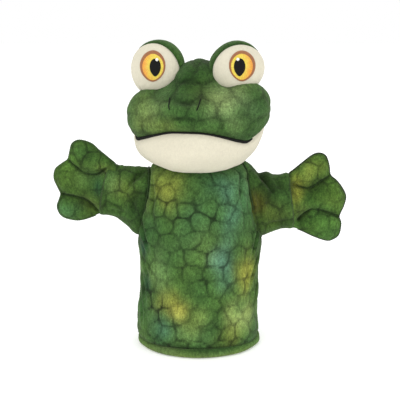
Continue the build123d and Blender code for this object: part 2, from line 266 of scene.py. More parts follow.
def shell(name, outer, inner, tint, inner_tint, wrap=False):
    """A closed sheet of cloth between two grids of points. wrap joins each row's ends."""
    rows, columns = outer.shape[:2]
    size = rows * columns
    faces = [grid_faces(rows, columns, 0, wrap), grid_faces(rows, columns, size, wrap)[:, ::-1]]
    index = np.arange(size).reshape(rows, columns)
    rims = []
    for rim in (index[0], index[-1]):
        rims.append(np.append(rim, rim[0]) if wrap else rim)
    if not wrap:
        rims += [index[:, 0], index[:, -1]]
    for rim in rims:
        faces.append(np.stack([rim[:-1], rim[1:], rim[1:] + size, rim[:-1] + size], axis=1))
    colour = np.concatenate([tint.reshape(-1, 3), np.broadcast_to(inner_tint, (size, 3))])
    return make_object(name, np.concatenate([outer.reshape(-1, 3), inner.reshape(-1, 3)]),
                       np.concatenate(faces), colour, np.repeat([0.0, 1.0], size))


def outward_normals(p, centre, wrap=False):
    """The normals of a grid of points, turned away from the centre."""
    du = np.roll(p, -1, axis=1) - np.roll(p, 1, axis=1) if wrap else np.gradient(p, axis=1)
    n = np.cross(du, np.gradient(p, axis=0))
    n /= np.maximum(np.linalg.norm(n, axis=-1, keepdims=True), 1e-9)
    return -n if (n * (p - centre)).sum(-1).mean() < 0 else n


PLY_RIPPLE = 0.16       # how much a thread's thickness changes from ply to ply


def tube(name, line, radius, colour, twist, closed=False, sides=10, squash=(1, 1), lean=(0.0, -1.0, 0.0)):
    """A thread along points. radius may differ along it; twist is the length of one ply, which ripples it."""
    line = np.array(line, float)
    n = len(line)
    if closed:
        along = np.roll(line, -1, axis=0) - np.roll(line, 1, axis=0)
    else:
        along = np.gradient(line, axis=0)
    along /= np.linalg.norm(along, axis=1, keepdims=True)
    side = np.cross(along, np.broadcast_to(np.array(lean), line.shape))
    side /= np.maximum(np.linalg.norm(side, axis=1, keepdims=True), 1e-9)
    normal = np.cross(side, along)
    angle = np.linspace(0, 2 * math.pi, sides, endpoint=False)
    length = np.concatenate([[0], np.cumsum(np.linalg.norm(np.diff(line, axis=0), axis=1))])
    ripple = 1 + PLY_RIPPLE * np.sin(length[:, None] * 2 * math.pi / twist + angle[None])
    r = np.broadcast_to(radius, (n,))[:, None] * ripple
    p = line[:, None] + (r * np.cos(angle))[..., None] * side[:, None] * squash[0] \
        + (r * np.sin(angle))[..., None] * normal[:, None] * squash[1]
    points = p.reshape(-1, 3)
    if closed:
        faces = list(tube_faces(n, sides))
    else:
        ends = [range(sides - 1, -1, -1), range((n - 1) * sides, n * sides)]
        faces = list(grid_faces(n, sides, 0, True)) + ends
    return make_object(name, points, faces, np.broadcast_to(colour, (len(points), 3)))


# ---- materials ---------------------------------------------------------------------------
def new_material(name):
    material = bpy.data.materials.new(name)
    material.use_nodes = True
    tree = material.node_tree
    return material, tree.nodes, tree.links, tree.nodes["Principled BSDF"]


def cloth_material(name, roughness, sheen, sheen_tint, fine, fine_contrast, soft_contrast, bump_height,
                   stretch=(1, 1, 1), stripes=None, specular=0.2):
    """Cloth coloured by the mesh's own tint, which is its dye with painted shade and light, with fibres, soft
    mottling and a nap from procedural noise.
    """
    material, nodes, links, shader = new_material(name)
    shader.inputs["Roughness"].default_value = roughness
    shader.inputs["Sheen Weight"].default_value = sheen
    shader.inputs["Sheen Roughness"].default_value = 0.45
    shader.inputs["Sheen Tint"].default_value = (*sheen_tint, 1)
    shader.inputs["Specular IOR Level"].default_value = specular
    place = nodes.new("ShaderNodeAttribute")
    place.attribute_name = "rest_co"
    dye_shade_and_light = nodes.new("ShaderNodeAttribute")
    dye_shade_and_light.attribute_name = "tint"
    mapping = nodes.new("ShaderNodeMapping")
    mapping.inputs["Scale"].default_value = stretch
    links.new(place.outputs["Vector"], mapping.inputs["Vector"])

    def noise(scale, detail, source):
        node = nodes.new("ShaderNodeTexNoise")
        node.inputs["Scale"].default_value = scale
        node.inputs["Detail"].default_value = detail
        node.inputs["Roughness"].default_value = 0.6
        links.new(source, node.inputs["Vector"])
        return node.outputs["Fac"]

    def ramp(source, low, high):
        node = nodes.new("ShaderNodeMapRange")
        node.inputs["From Min"].default_value = 0.3
        node.inputs["From Max"].default_value = 0.7
        node.inputs["To Min"].default_value = low
        node.inputs["To Max"].default_value = high
        links.new(source, node.inputs["Value"])
        return node.outputs["Result"]

    def times(a, b):
        node = nodes.new("ShaderNodeMix")
        node.data_type = "RGBA"
        node.blend_type = "MULTIPLY"
        node.inputs["Factor"].default_value = 1
        links.new(a, node.inputs["A"])
        links.new(b, node.inputs["B"])
        return node.outputs["Result"]

    fibres = noise(fine, 3, mapping.outputs["Vector"])
    tufts = noise(fine * 0.33, 2, mapping.outputs["Vector"])
    colour = times(dye_shade_and_light.outputs["Color"], ramp(fibres, 1 - fine_contrast, 1 + fine_contrast))
    colour = times(colour, ramp(tufts, 1 - soft_contrast, 1 + soft_contrast))
    height = nodes.new("ShaderNodeMath")
    height.operation = "ADD"
    links.new(fibres, height.inputs[0])
    links.new(tufts, height.inputs[1])
    relief = height.outputs[0]
    if stripes:
        wave = nodes.new("ShaderNodeTexWave")
        wave.bands_direction = stripes[1]
        wave.inputs["Scale"].default_value = stripes[0]
        wave.inputs["Distortion"].default_value = 1.5
        wave.inputs["Detail"].default_value = 1
        links.new(place.outputs["Vector"], wave.inputs["Vector"])
        colour = times(colour, ramp(wave.outputs["Fac"], 0.82, 1.12))
        both = nodes.new("ShaderNodeMath")
        both.operation = "ADD"
        links.new(relief, both.inputs[0])
        links.new(wave.outputs["Fac"], both.inputs[1])
        relief = both.outputs[0]
    links.new(colour, shader.inputs["Base Color"])
    dents = nodes.new("ShaderNodeBump")
    dents.inputs["Strength"].default_value = 0.6
    dents.inputs["Distance"].default_value = bump_height
    links.new(relief, dents.inputs["Height"])
    links.new(dents.outputs["Normal"], shader.inputs["Normal"])
    return material


GREEN_PLUSH = cloth_material("green_plush", 0.95, 0.14, (0.70, 0.80, 0.50), 1100, 0.36, 0.34, 0.0011,
                             stretch=(1.25, 1.25, 0.75))
CREAM_PLUSH = cloth_material("cream_plush", 0.95, 0.22, (1.0, 0.97, 0.88), 1500, 0.045, 0.035, 0.0006,
                             stretch=(1.25, 1.25, 0.8))
LINING_CLOTH = cloth_material("lining_cloth", 0.8, 0.08, (0.8, 0.8, 0.8), 2200, 0.12, 0.05, 0.0002,
                              stretch=(1, 1, 3))
BLACK_THREAD = cloth_material("black_thread", 0.6, 0.0, (0.5, 0.5, 0.5), 2500, 0.3, 0.1, 0.0002,
                              stripes=(900, "X"), specular=0.2)
DARK_THREAD = cloth_material("dark_thread", 0.7, 0.25, (0.5, 0.6, 0.4), 2200, 0.3, 0.15, 0.0003)
SATIN_THREAD = cloth_material("satin_thread", 0.42, 0.12, (1, 0.9, 0.7), 2600, 0.10, 0.05, 0.00015,
                              stripes=(1300, "Z"), specular=0.5)


def finish_piece(piece, material, replaced=(), rides=None):
    """Gives a piece its cloth, hides the CAD parts it replaces, and fixes it to the body called rides, if
    any.
    """
    piece.data.materials.clear()
    piece.data.materials.append(material)
    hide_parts(*replaced)
    if rides:
        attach(piece, rides)
    return piece


# ---- dyes, painted shade and painted light -----------------------------------------------
BASE_GREEN = srgb(65, 100, 46)
DEEP_GREEN = srgb(36, 68, 25)
YELLOW = srgb(150, 152, 62)
OLIVE = srgb(116, 134, 58)
TEAL = srgb(82, 130, 106)
BLUE_GREEN = srgb(58, 98, 64)
LIGHT_GREEN = srgb(120, 149, 88)
BROWN_GREEN = srgb(98, 96, 34)
CREAM = srgb(215, 209, 188)
LINING_TINT = srgb(60, 84, 50)
SEAM_SHADE = srgb(30, 50, 20)


def dye_and_painted_light(p, base, patches, seed, variation=0.10):
    """The plush's colour: a base dye, soft patches (place, size, colour, strength) and cloudy variation. Most
    patches are dye; a few are painted shade and painted light.
    """
    colour = np.broadcast_to(base, p.shape).copy()
    for place, size, patch, strength in patches:
        d = (p - np.array(place, float)) / np.array(size, float)
        d = np.linalg.norm(d, axis=-1) + 0.22 * waves(p, 16, seed + 3)
        w = (strength * np.exp(-np.clip(d, 0, None) ** 2))[..., None]
        colour = colour * (1 - w) + patch * w
    cloud = 1 + variation * waves(p, 38, seed) + 0.5 * variation * waves(p, 15, seed + 1)
    colour = colour * cloud[..., None]
    warm = 0.07 * waves(p, 30, seed + 2)
    return np.clip(colour * np.stack([1 + warm, np.ones_like(warm), 1 - warm], axis=-1), 0.002, 1)


def with_cells(colour, p, edge, tone, depth=0.56, width=0.8):
    """Darkens the printed lines between the scales, paints soft shade beside them and a highlight on each
    scale's middle, and gives each scale its own tone.
    """
    strength = depth * (0.80 + 0.45 * waves(p, 24, 9))
    inside = np.clip(edge, 0, None)
    line = bump(inside, width) * np.clip(strength, 0.14, 0.8)
    # painted shade beside each printed line, as if the scales puffed up between them
    soft = 0.10 * bump(inside, 3.2)
    # a painted highlight on each scale's middle, plus each scale's own random tone
    middle_highlight_and_tone = 0.05 * smooth_step(edge, 1.5, 6) + 0.07 * tone
    return colour * ((1 - line) * (1 - soft) * (1 + middle_highlight_and_tone))[..., None]


# ---- the sleeve --------------------------------------------------------------------------
# the outline from the hem up over the shoulder: height and half size to the side, then to the front
SIDE_Z = [7.5, 40, 75, 106, 122, 137, 150, 160, 167, 172, 174.5, 173]
SIDE_X = [55.5, 54.3, 54.2, 55.8, 54.6, 52.6, 50.4, 48.4, 46.0, 41.2, 33.4, 26.4]
FRONT_Z = [7.5, 40, 75, 106, 121, 133, 143, 150, 156, 160, 163.5, 167]
FRONT_Y = [46.5, 45.3, 45.2, 45.8, 43.8, 40.6, 37, 33.8, 31, 29, 27.4, 26.4]
BODY_SQUARE = 0.92
# where the cloth bellies out: side, height, extent and how far
SLEEVE_BULGES = [(-1, 24, 26, 3.0), (1, 94, 18, 3.0)]
PLUSH = 1.6

# folds in the sleeve: the line of each, on the unrolled front (round, up), its depth and its width
FOLDS = [
    ([(-62, 128), (-52, 108), (-46, 96)], 2.2, 4.2),
    ([(-66, 96), (-56, 84), (-50, 70)], 1.9, 3.6),
    ([(-68, 74), (-58, 60), (-52, 44)], 1.7, 3.8),
    ([(-66, 52), (-58, 38), (-55, 24)], 1.3, 3.4),
    ([(66, 118), (54, 104), (48, 88)], 2.4, 4.0),
    ([(66, 92), (56, 80), (50, 62)], 2.0, 3.6),
    ([(68, 66), (60, 54), (56, 38)], 1.6, 3.6),
    ([(-52, 160), (-44, 146), (-42, 126)], 1.2, 3.4),
    ([(46, 166), (40, 150), (41, 128)], 1.4, 3.6),
    ([(-24, 30), (0, 26), (22, 30)], 0.7, 5.0),
]


def sleeve_point(turn, t):
    """A point on the sleeve. turn is the angle from the front towards +X; t runs 0 to 1, hem to neck."""
    at = np.clip(t, 0, 1) * (len(SIDE_Z) - 1)
    knots = np.arange(len(SIDE_Z))

    def along(values):
        fine = np.linspace(0, len(values) - 1, 200)
        coarse = np.interp(fine, knots, values)
        kernel = bump(np.linspace(-2, 2, 21), 1.0)
        longer = np.concatenate([2 * coarse[0] - coarse[10:0:-1], coarse, 2 * coarse[-1] - coarse[-2:-12:-1]])
        return np.interp(at, fine, np.convolve(longer, kernel / kernel.sum(), "valid"))

    s, c = np.sin(turn), np.cos(turn)
    x = along(SIDE_X) * np.sign(s) * np.abs(s) ** BODY_SQUARE
    y = BODY_Y - along(FRONT_Y) * np.sign(c) * np.abs(c) ** BODY_SQUARE
    side = s * s
    z = along(SIDE_Z) * side + along(FRONT_Z) * (1 - side)
    for k, middle, height, out in SLEEVE_BULGES:
        x = x + k * out * bump(z - middle, height) * smooth_step(k * s, 0.3, 1)
    return np.stack([x, y, z], axis=-1)


FRONT_PATCHES = [
    ((-31, -34, 152), (15, 30, 15), YELLOW, 0.56),
    ((-36, -26, 163), (13, 30, 10), OLIVE, 0.7),
    ((12, -40, 156), (16, 30, 14), BLUE_GREEN, 0.65),
    ((31, -34, 156), (11, 26, 16), TEAL, 0.6),
    ((29, -38, 128), (10, 26, 18), TEAL, 0.6),
    ((20, -42, 88), (9, 26, 13), srgb(104, 150, 122), 0.85),
    ((26, -42, 70), (8, 26, 9), TEAL, 0.4),
    ((-4, -44, 132), (15, 30, 14), BLUE_GREEN, 0.4),
    ((-19, -44, 42), (10, 26, 9), srgb(178, 168, 74), 0.7),
    ((-30, -40, 52), (12, 26, 10), YELLOW, 0.5),
    ((-36, -36, 72), (9, 24, 22), LIGHT_GREEN, 0.5),
    ((42, -30, 76), (9, 26, 17), YELLOW, 0.8),
    ((37, -34, 34), (11, 26, 13), srgb(164, 182, 104), 0.9),
    ((30, -36, 20), (14, 26, 10), OLIVE, 0.5),
    ((-8, -44, 22), (20, 26, 10), LIGHT_GREEN, 0.35),
    ((-2, -46, 36), (12, 26, 10), srgb(128, 152, 78), 0.5),
    ((-34, -36, 26), (9, 26, 12), TEAL, 0.4),
    ((0, -44, 108), (18, 26, 20), LIGHT_GREEN, 0.22),
    # painted shade down the -X side, where the folds are
    ((-56, 0, 95), (8, 30, 50), DEEP_GREEN, 0.45),
    # painted shadow in two fold wedges, and a painted highlight on the crest between them
    ((-50, -16, 97), (3.8, 22, 9), srgb(24, 60, 44), 0.85),
    ((-47, -20, 62), (3.6, 20, 9), srgb(26, 62, 44), 0.75),
    ((-54, -8, 82), (3.0, 20, 10), LIGHT_GREEN, 0.6),
    # painted shade down the +X side
    ((56, 0, 85), (8, 30, 55), DEEP_GREEN, 0.45),
    # painted shadow of the jaw across the top of the chest
    ((0, -26, 168), (50, 30, 6), SEAM_SHADE, 0.5),
]
BACK_PATCHES = [
    ((26, 44, 140), (16, 26, 14), YELLOW, 0.55),
    ((-22, 46, 120), (14, 26, 20), TEAL, 0.6),
    ((8, 48, 84), (16, 26, 14), LIGHT_GREEN, 0.45),
    ((-34, 40, 62), (12, 26, 18), OLIVE, 0.6),
    ((30, 42, 56), (12, 26, 16), TEAL, 0.55),
    ((2, 48, 34), (16, 26, 10), YELLOW, 0.6),
    ((0, 30, 160), (40, 20, 9), BLUE_GREEN, 0.5),
    # painted shade down both sides, as on the front
    ((-56, 0, 95), (8, 30, 50), DEEP_GREEN, 0.4),
    ((56, 0, 85), (8, 30, 55), DEEP_GREEN, 0.4),
]
UNROLL = 50.0      # millimetres of cloth for each radian round the sleeve
BODY_ROWS, BODY_COLUMNS = 178, 158
SEAM_AT = math.pi / 2 * UNROLL      # the side seams, on the unrolled cloth
HEM_TOP = SIDE_Z[0]                 # where the panels meet the hem
SLEEVE_SEEDS = {side: jittered_seeds((-85, 8), (85, 176), (15.6, 14.2), (4.6, 4.0), seed)
                for side, seed in (("front", 21), ("back", 33))}
ARM_LINES = {}      # filled in below with the seam round each armhole


def smooth_grid(side):
    """The plain sleeve grid of one panel, and where each point is on the unrolled cloth."""
    half = math.pi / 2 - 0.006
    turn = np.linspace(-half, half, BODY_COLUMNS)
    if side == "back":
        turn = turn + math.pi
    t = np.linspace(0, 1, BODY_ROWS)
    tt, aa = np.meshgrid(t, turn, indexing="ij")
    p = sleeve_point(aa, tt)
    local = aa - (math.pi if side == "back" else 0)
    return p, np.stack([local * UNROLL, p[..., 2]], axis=-1)


def folds_and_armholes(p, uv, side):
    """What the folds and the armholes' seams do to a panel: relief and shade."""
    mirror, folds = 1, FOLDS
    if side == "back":
        mirror, folds = -1, [fold for k, fold in enumerate(FOLDS) if k % 3]
    high, shade = fold_marks(uv * np.array([mirror, 1]), folds, 0.02, 0.55, 0.75, 0.19, 0.5, 1)
    for seam in ARM_LINES.values():
        far, _ = line_distance(p, seam)
        high += 0.6 * bump(far - 6, 3.5) - 1.3 * bump(far, 2.0)
        shade *= 1 - 0.42 * bump(far, 1.5) - 0.12 * bump(far, 7)
    return high, shade


def body_relief(p, uv, edge):
    """How far the sleeve stands in or out of its plain form: scales, soft bulges, side seams and hem."""
    high = scale_relief(edge, 0.22, 0.30)
    high += 0.9 * waves(p, 60, 4) + 0.30 * waves(p, 20, 8)
    high -= 1.6 * bump(np.abs(uv[..., 0]) - SEAM_AT, 2.2)
    high -= 1.3 * bump(p[..., 2] - HEM_TOP, 2.6)
    high += 1.0 * bump(p[..., 2] - 2 * HEM_TOP, 6.0)
    return high + nap(p)


def body_tint(p, uv, side, edge, tone):
    patches, seed = (FRONT_PATCHES, 40) if side == "front" else (BACK_PATCHES, 60)
    colour = with_cells(dye_and_painted_light(p, BASE_GREEN, patches, seed), p, edge, tone)
    shade = 1 - 0.35 * bump(p[..., 2] - 8, 3.2)
    shade *= 1 - 0.35 * bump(np.abs(uv[..., 0]) - SEAM_AT, 2.0)
    return colour * shade[..., None]


# ---- arms --------------------------------------------------------------------------------
# top and bottom of each arm seen from the front: distance out from the sleeve's axis, and height
ARM_TOP = {
    "right": [(37, 171), (44.5, 167.5), (53.8, 166.3), (67.5, 167.0), (79.5, 167.0), (84, 167.5)],
    "left": [(36, 176), (44.7, 171), (52, 164.6), (65, 159.2), (76, 159.2), (82.5, 160.6)],
}
ARM_BOTTOM = {
    "right": [
        (44, 94), (56.4, 102.6), (61.5, 106.8), (67.5, 112.8), (75.5, 118.6), (85, 122.2), (92.5, 123.2),
    ],
    "left": [
        (44, 88), (56.5, 99.5), (61, 103.2), (68, 106.4), (75, 108.4), (84.4, 109.6), (88.5, 109.8),
    ],
}
ARM_DEPTH = [20.5, 18.5, 16.2, 14.4, 13.2, 12.6]     # half the arm's depth from root to wrist
ARM_ROWS, ARM_COLUMNS = 64, 150
ARM_SPLIT = 0.52        # the arm's cover is two pieces, parted at this share of its length

ARM_FOLDS = {
    "right": [
        ([(50, 163), (60, 156), (66, 149)], 2.6, 4.0), ([(52, 150), (60, 138), (58, 124)], 1.4, 4.2),
        ([(70, 160), (76, 148), (76, 134)], 0.8, 4.0), ([(62, 128), (72, 128), (84, 130)], 0.8, 3.6),
    ],
    "left": [
        ([(52, 166), (60, 156), (69, 143)], 2.8, 3.8), ([(50, 150), (55, 138), (54, 122)], 1.3, 4.0),
        ([(66, 154), (76, 150), (84, 152)], 1.0, 3.8), ([(60, 116), (72, 118), (84, 120)], 0.8, 3.8),
    ],
}
ARM_PATCHES = {
    "right": [
        ((-67, -10, 150), (12, 30, 12), OLIVE, 0.35), ((-78, -8, 155), (8, 30, 10), LIGHT_GREEN, 0.3),
        # painted shade in the armpit
        ((-57, -10, 134), (9, 30, 15), srgb(24, 48, 18), 0.75),
        ((-70, -8, 128), (14, 30, 8), BASE_GREEN, 0.4), ((-60, -10, 163), (14, 30, 6), DEEP_GREEN, 0.6),
    ],
    "left": [
        ((52, -10, 137), (8, 30, 10), BROWN_GREEN, 0.75), ((70, -10, 128), (14, 30, 10), OLIVE, 0.35),
        ((60, -10, 158), (10, 30, 8), SEAM_SHADE, 0.5), ((80, -8, 140), (9, 30, 14), BASE_GREEN, 0.5),
        ((66, -8, 146), (10, 30, 10), DEEP_GREEN, 0.5),
    ],
}
BACK_ARM = {
    "right": ((-66, 16, 146), (14, 10, 16), TEAL, 0.5),
    "left": ((66, 16, 136), (14, 10, 16), OLIVE, 0.5),
}


def arm_grid(side):
    """Rings of the arm's cloth from inside the sleeve to the wrist."""
    k = SIDES[side]
    top = curve_points(ARM_TOP[side], ARM_ROWS)
    low = curve_points(ARM_BOTTOM[side], ARM_ROWS)
    share = np.linspace(0, 1, ARM_ROWS)
    depth = np.interp(share, np.linspace(0, 1, len(ARM_DEPTH)), ARM_DEPTH)
    up = top - low
    half = np.linalg.norm(up, axis=1) / 2
    up /= np.linalg.norm(up, axis=1, keepdims=True)
    curl = smooth_step(share, 0.965, 1.0)
    half = half - 2.4 * curl
    depth = depth - 2.0 * curl
    middle = (top + low) / 2
    angle = np.linspace(0, 2 * math.pi, ARM_COLUMNS, endpoint=False)
    c, s = np.cos(angle), np.sin(angle)
    c = np.sign(c) * np.abs(c) ** 0.9
    s = np.sign(s) * np.abs(s) ** 0.86
    out = middle[:, None, 0] + up[:, None, 0] * half[:, None] * c
    z = middle[:, None, 1] + up[:, None, 1] * half[:, None] * c
    y = BODY_Y - depth[:, None] * s
    return np.stack([k * out, y, z], axis=-1)


def find_armhole(side):
    """The line where the arm's cloth leaves the sleeve."""
    whole = np.concatenate([smooth_grid("front")[0], smooth_grid("back")[0]], axis=1)
    rows, columns = whole.shape[:2]
    tree = BVHTree.FromPolygons([tuple(v) for v in whole.reshape(-1, 3)],
                                [tuple(map(int, f)) for f in grid_faces(rows, columns, 0, True)])
    axis = np.array([0, BODY_Y])
    line = []
    p = arm_grid(side)
    for j in range(0, ARM_COLUMNS, 3):
        found = p[-1, j]
        for i in range(4, ARM_ROWS):
            near = tree.find_nearest(Vector(p[i, j]))[0]
            inside = np.linalg.norm(p[i, j, :2] - axis) < np.linalg.norm(np.array(near[:2]) - axis)
            if not inside and (p[i, j] - np.array(near)) @ (p[i, j] - np.array(near)) > 0.2:
                found = np.array(near)
                break
        line.append(found)
    return curve_points(np.array(line), 160, closed=True)


for side in SIDES:
    seam = find_armhole(side)
    ARM_LINES[side] = np.concatenate([seam, seam[:1]])

LINING_IN, LINING_THICK = 2.45, 0.7     # how far inside the plush the lining hangs
for side in ("front", "back"):
    plain, uv = smooth_grid(side)
    edge, tone = cells(uv, SLEEVE_SEEDS[side])
    outward = outward_normals(plain, plain * [0, 0, 1] + [0, BODY_Y, 0])
    creased, shade = folds_and_armholes(plain, uv, side)
    outer = plain + outward * (body_relief(plain, uv, edge) + creased)[..., None]
    colour = body_tint(plain, uv, side, edge, tone) * shade[..., None]
    panel = shell(f"body_{side}_plush", outer, outer - outward * PLUSH, colour, LINING_TINT)
    finish_piece(panel, GREEN_PLUSH, [f"body_{side}_panel"])
    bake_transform(panel)
    soft = (plain - outward * (LINING_IN + 0.25 * waves(plain, 30, 77))[..., None])[::3, ::3]
    colour = LINING_TINT * (1 + 0.06 * waves(soft, 12, 3))[..., None]
    thin = soft - outward[::3, ::3] * LINING_THICK
    lining = shell(f"body_{side}_lining_cloth", soft, thin, colour, LINING_TINT)
    finish_piece(lining, LINING_CLOTH, [f"body_{side}_lining"], rides="body")

# side seams, from the hem to the armpit
for side, k in SIDES.items():
    t = np.linspace(0.0, 0.27, 90)
    line = sleeve_point(np.full_like(t, k * math.pi / 2), t)
    line[:, 0] -= k
    line[:, 0] += 0.25 * waves(line, 9, 31)
    seam = tube(f"{side}_side_seam_ridge", line, 1.15, SEAM_SHADE * 1.5, 2.4, lean=(k, 0, 0))
    finish_piece(seam, GREEN_PLUSH, [f"{side}_side_seam"], rides="body")

# the rolled hem
HEM_A, HEM_B = 53.2, 47.0               # half sizes of its ring, to the side and to the front
HEM_THICK, HEM_HALF_HEIGHT = 4.1, 3.9
HEM_SIDES, HEM_STEPS = 30, 380
HEM_PATCHES = [
    # painted shadow above the roll, then painted light on its lower edge as if thrown up from the floor
    ((0, BODY_Y, 8.2), (400, 400, 2.0), DEEP_GREEN, 0.8),
    ((0, BODY_Y, 0), (400, 400, 3.0), srgb(122, 140, 74), 0.8),
    ((40, -30, 4), (14, 20, 10), BASE_GREEN, 0.4),
    ((-30, -40, 4), (12, 20, 10), LIGHT_GREEN, 0.5),
]
roll, turn = ring_grid(np.linspace(0, 2 * math.pi, HEM_SIDES, endpoint=False), HEM_STEPS)
core = np.stack([HEM_A * np.sin(turn), BODY_Y - HEM_B * np.cos(turn), 0 * turn], axis=-1)
away = np.stack([np.sin(turn) / HEM_A, -np.cos(turn) / HEM_B, 0 * turn], axis=-1)
away /= np.linalg.norm(away, axis=-1, keepdims=True)
pucker = 0.35 * np.sin(turn * 61 + 2 * np.sin(turn * 7)) * np.clip(np.sin(roll), 0, 1)
lumps = bump(turn - math.pi * 0.42, 0.14) + bump(turn - math.pi * 1.58, 0.14)      # near the side seams
thick = HEM_THICK + 0.35 * waves(core, 22, 15) + pucker + lumps
hem = core + away * (thick * np.cos(roll))[..., None]
rise = 1 + np.sin(roll) * np.where(np.sin(roll) < 0, 0.98, 1.0)
hem[..., 2] = np.maximum((HEM_HALF_HEIGHT + 0.25 * np.sin(turn * 3 + 1)) * rise, 0.05)
hem_piece = make_object("hem_roll", hem, tube_faces(HEM_SIDES, HEM_STEPS),
                        dye_and_painted_light(hem, srgb(84, 116, 56), HEM_PATCHES, 81, 0.2))
finish_piece(hem_piece, GREEN_PLUSH, ["hem_band"], rides="body")

# the neck under the head: a band of a ball, in small pleats
NECK_RADIUS, NECK_BALL = 26.0, 27.5
NECK_FROM, NECK_TO = -9, 17             # heights from the joint
up, turn = ring_grid(np.linspace(NECK_FROM, NECK_TO, 16), 150)
radius = NECK_RADIUS * np.sqrt(np.clip(1 - (up / NECK_BALL) ** 2, 0.05, 1))
radius += 0.5 * np.sin(turn * 26 + 2 * np.sin(turn * 5))
axis = np.array([0, BODY_Y, NECK[2]])
neck_outer = axis + np.stack([radius * np.sin(turn), -radius * np.cos(turn), up], axis=-1)
neck_inner = axis + (neck_outer - axis) * [0.94, 0.94, 1]
neck_colour = dye_and_painted_light(neck_outer, DEEP_GREEN, [], 90)
neck = shell("neck_cloth", neck_outer, neck_inner, neck_colour, LINING_TINT, wrap=True)
finish_piece(neck, GREEN_PLUSH, ["neck_collar", "neck_gusset", "neck_seam"], rides="neck")


# ---- arm covers --------------------------------------------------------------------------
ARM_GREEN = srgb(58, 90, 38)
# the arm covers' insides are painted dark, as shade inside their openings
ARM_INSIDE_SHADE = SEAM_SHADE * 0.6
for side, k in SIDES.items():
    p = arm_grid(side)
    outward = outward_normals(p, p.mean(axis=1, keepdims=True), wrap=True)
    seen = np.stack([k * p[..., 0], p[..., 2]], axis=-1)
    front = p[..., 1] < BODY_Y
    seeds = jittered_seeds((30, 80), (100, 190), (17, 15.5), (4.6, 4.2), 51 if side == "left" else 52)
    edge, tone = cells(np.where(front[..., None], seen, seen + np.array([6.0, 5.0])), seeds)
    relief, shade = fold_marks(seen, ARM_FOLDS[side], 0.03, 0.5, 0.7, 0.16, 0.6, 0.6)
    far, _ = line_distance(p, ARM_LINES[side])
    share = np.linspace(0, 1, ARM_ROWS)[:, None]
    relief += scale_relief(edge, 0.15, 0.22) - 0.8 * bump(far, 2.0) + 0.8 * bump(share - 0.93, 0.05)
    relief += 0.8 * waves(p, 34, 66 + k) + 0.25 * waves(p, 14, 68 + k) + nap(p)
    shade *= 1 - 0.42 * bump(far, 1.6) - 0.16 * bump(far, 8)
    shade *= 1 - 0.5 * smooth_step(share, 0.955, 1.0)
    outer = p + outward * relief[..., None]
    inner = outer - outward * PLUSH
    colour = dye_and_painted_light(p, ARM_GREEN, ARM_PATCHES[side] + [BACK_ARM[side]], 70 + k, 0.16)
    colour = with_cells(colour, p, edge, tone, 0.42) * shade[..., None]
    cut = int(ARM_SPLIT * ARM_ROWS)
    root = shell(f"{side}_shoulder_plush", outer[:cut + 1], inner[:cut + 1], colour[:cut + 1], ARM_INSIDE_SHADE,
                 wrap=True)
    finish_piece(root, GREEN_PLUSH, [f"{side}_shoulder_gusset"])
    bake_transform(root)
    cover = shell(f"{side}_arm_plush", outer[cut:], inner[cut:], colour[cut:], ARM_INSIDE_SHADE, wrap=True)
    finish_piece(cover, GREEN_PLUSH, [f"{side}_arm_front_panel", f"{side}_arm_back_panel",
                                      f"{side}_arm_lining", f"{side}_wrist_gusset"])
    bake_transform(cover)
    sewn = tube(f"{side}_armhole_seam_line", ARM_LINES[side][:-1], 0.5, SEAM_SHADE * 1.5, 2.6, closed=True,
                lean=(k, 0, 0))
    finish_piece(sewn, DARK_THREAD, [f"{side}_armhole_seam"], rides="body")


# ---- hands -------------------------------------------------------------------------------
# the outline of each hand from the top of the wrist round the fingers to its underside,
# outwards and upwards from the wrist's joint
HAND_OUTLINE = {
    "right": [
        (-10.0, 24.4), (-0.8, 32.2), (6.1, 38.0), (13.4, 44.4), (23.9, 47.4), (30.8, 44.0), (33.4, 35.5),
        (35.2, 29.6), (40.2, 26.0), (46.6, 20.6), (48.2, 12.2), (45.2, 3.9), (42.6, -2.4), (44.0, -7.6),
        (46.2, -14.6), (43.8, -21.6), (38.4, -25.6), (26.5, -27.6), (14.3, -24.4), (7.8, -21.4),
    ],
    "left": [
        (-6.2, 25.3), (-1.5, 28.0), (7.3, 35.3), (16.3, 42.4), (22.6, 44.5), (28.6, 42.0), (31.8, 33.6),
        (33.4, 24.4), (38.9, 19.4), (44.0, 13.1), (48.0, 4.7), (46.4, -4.4), (43.6, -11.0), (42.6, -15.4),
        (44.4, -21.4), (42.8, -31.6), (37.2, -36.3), (31.3, -37.2), (20.5, -33.6), (8.5, -28.0),
        (1.2, -25.3),
    ],
}
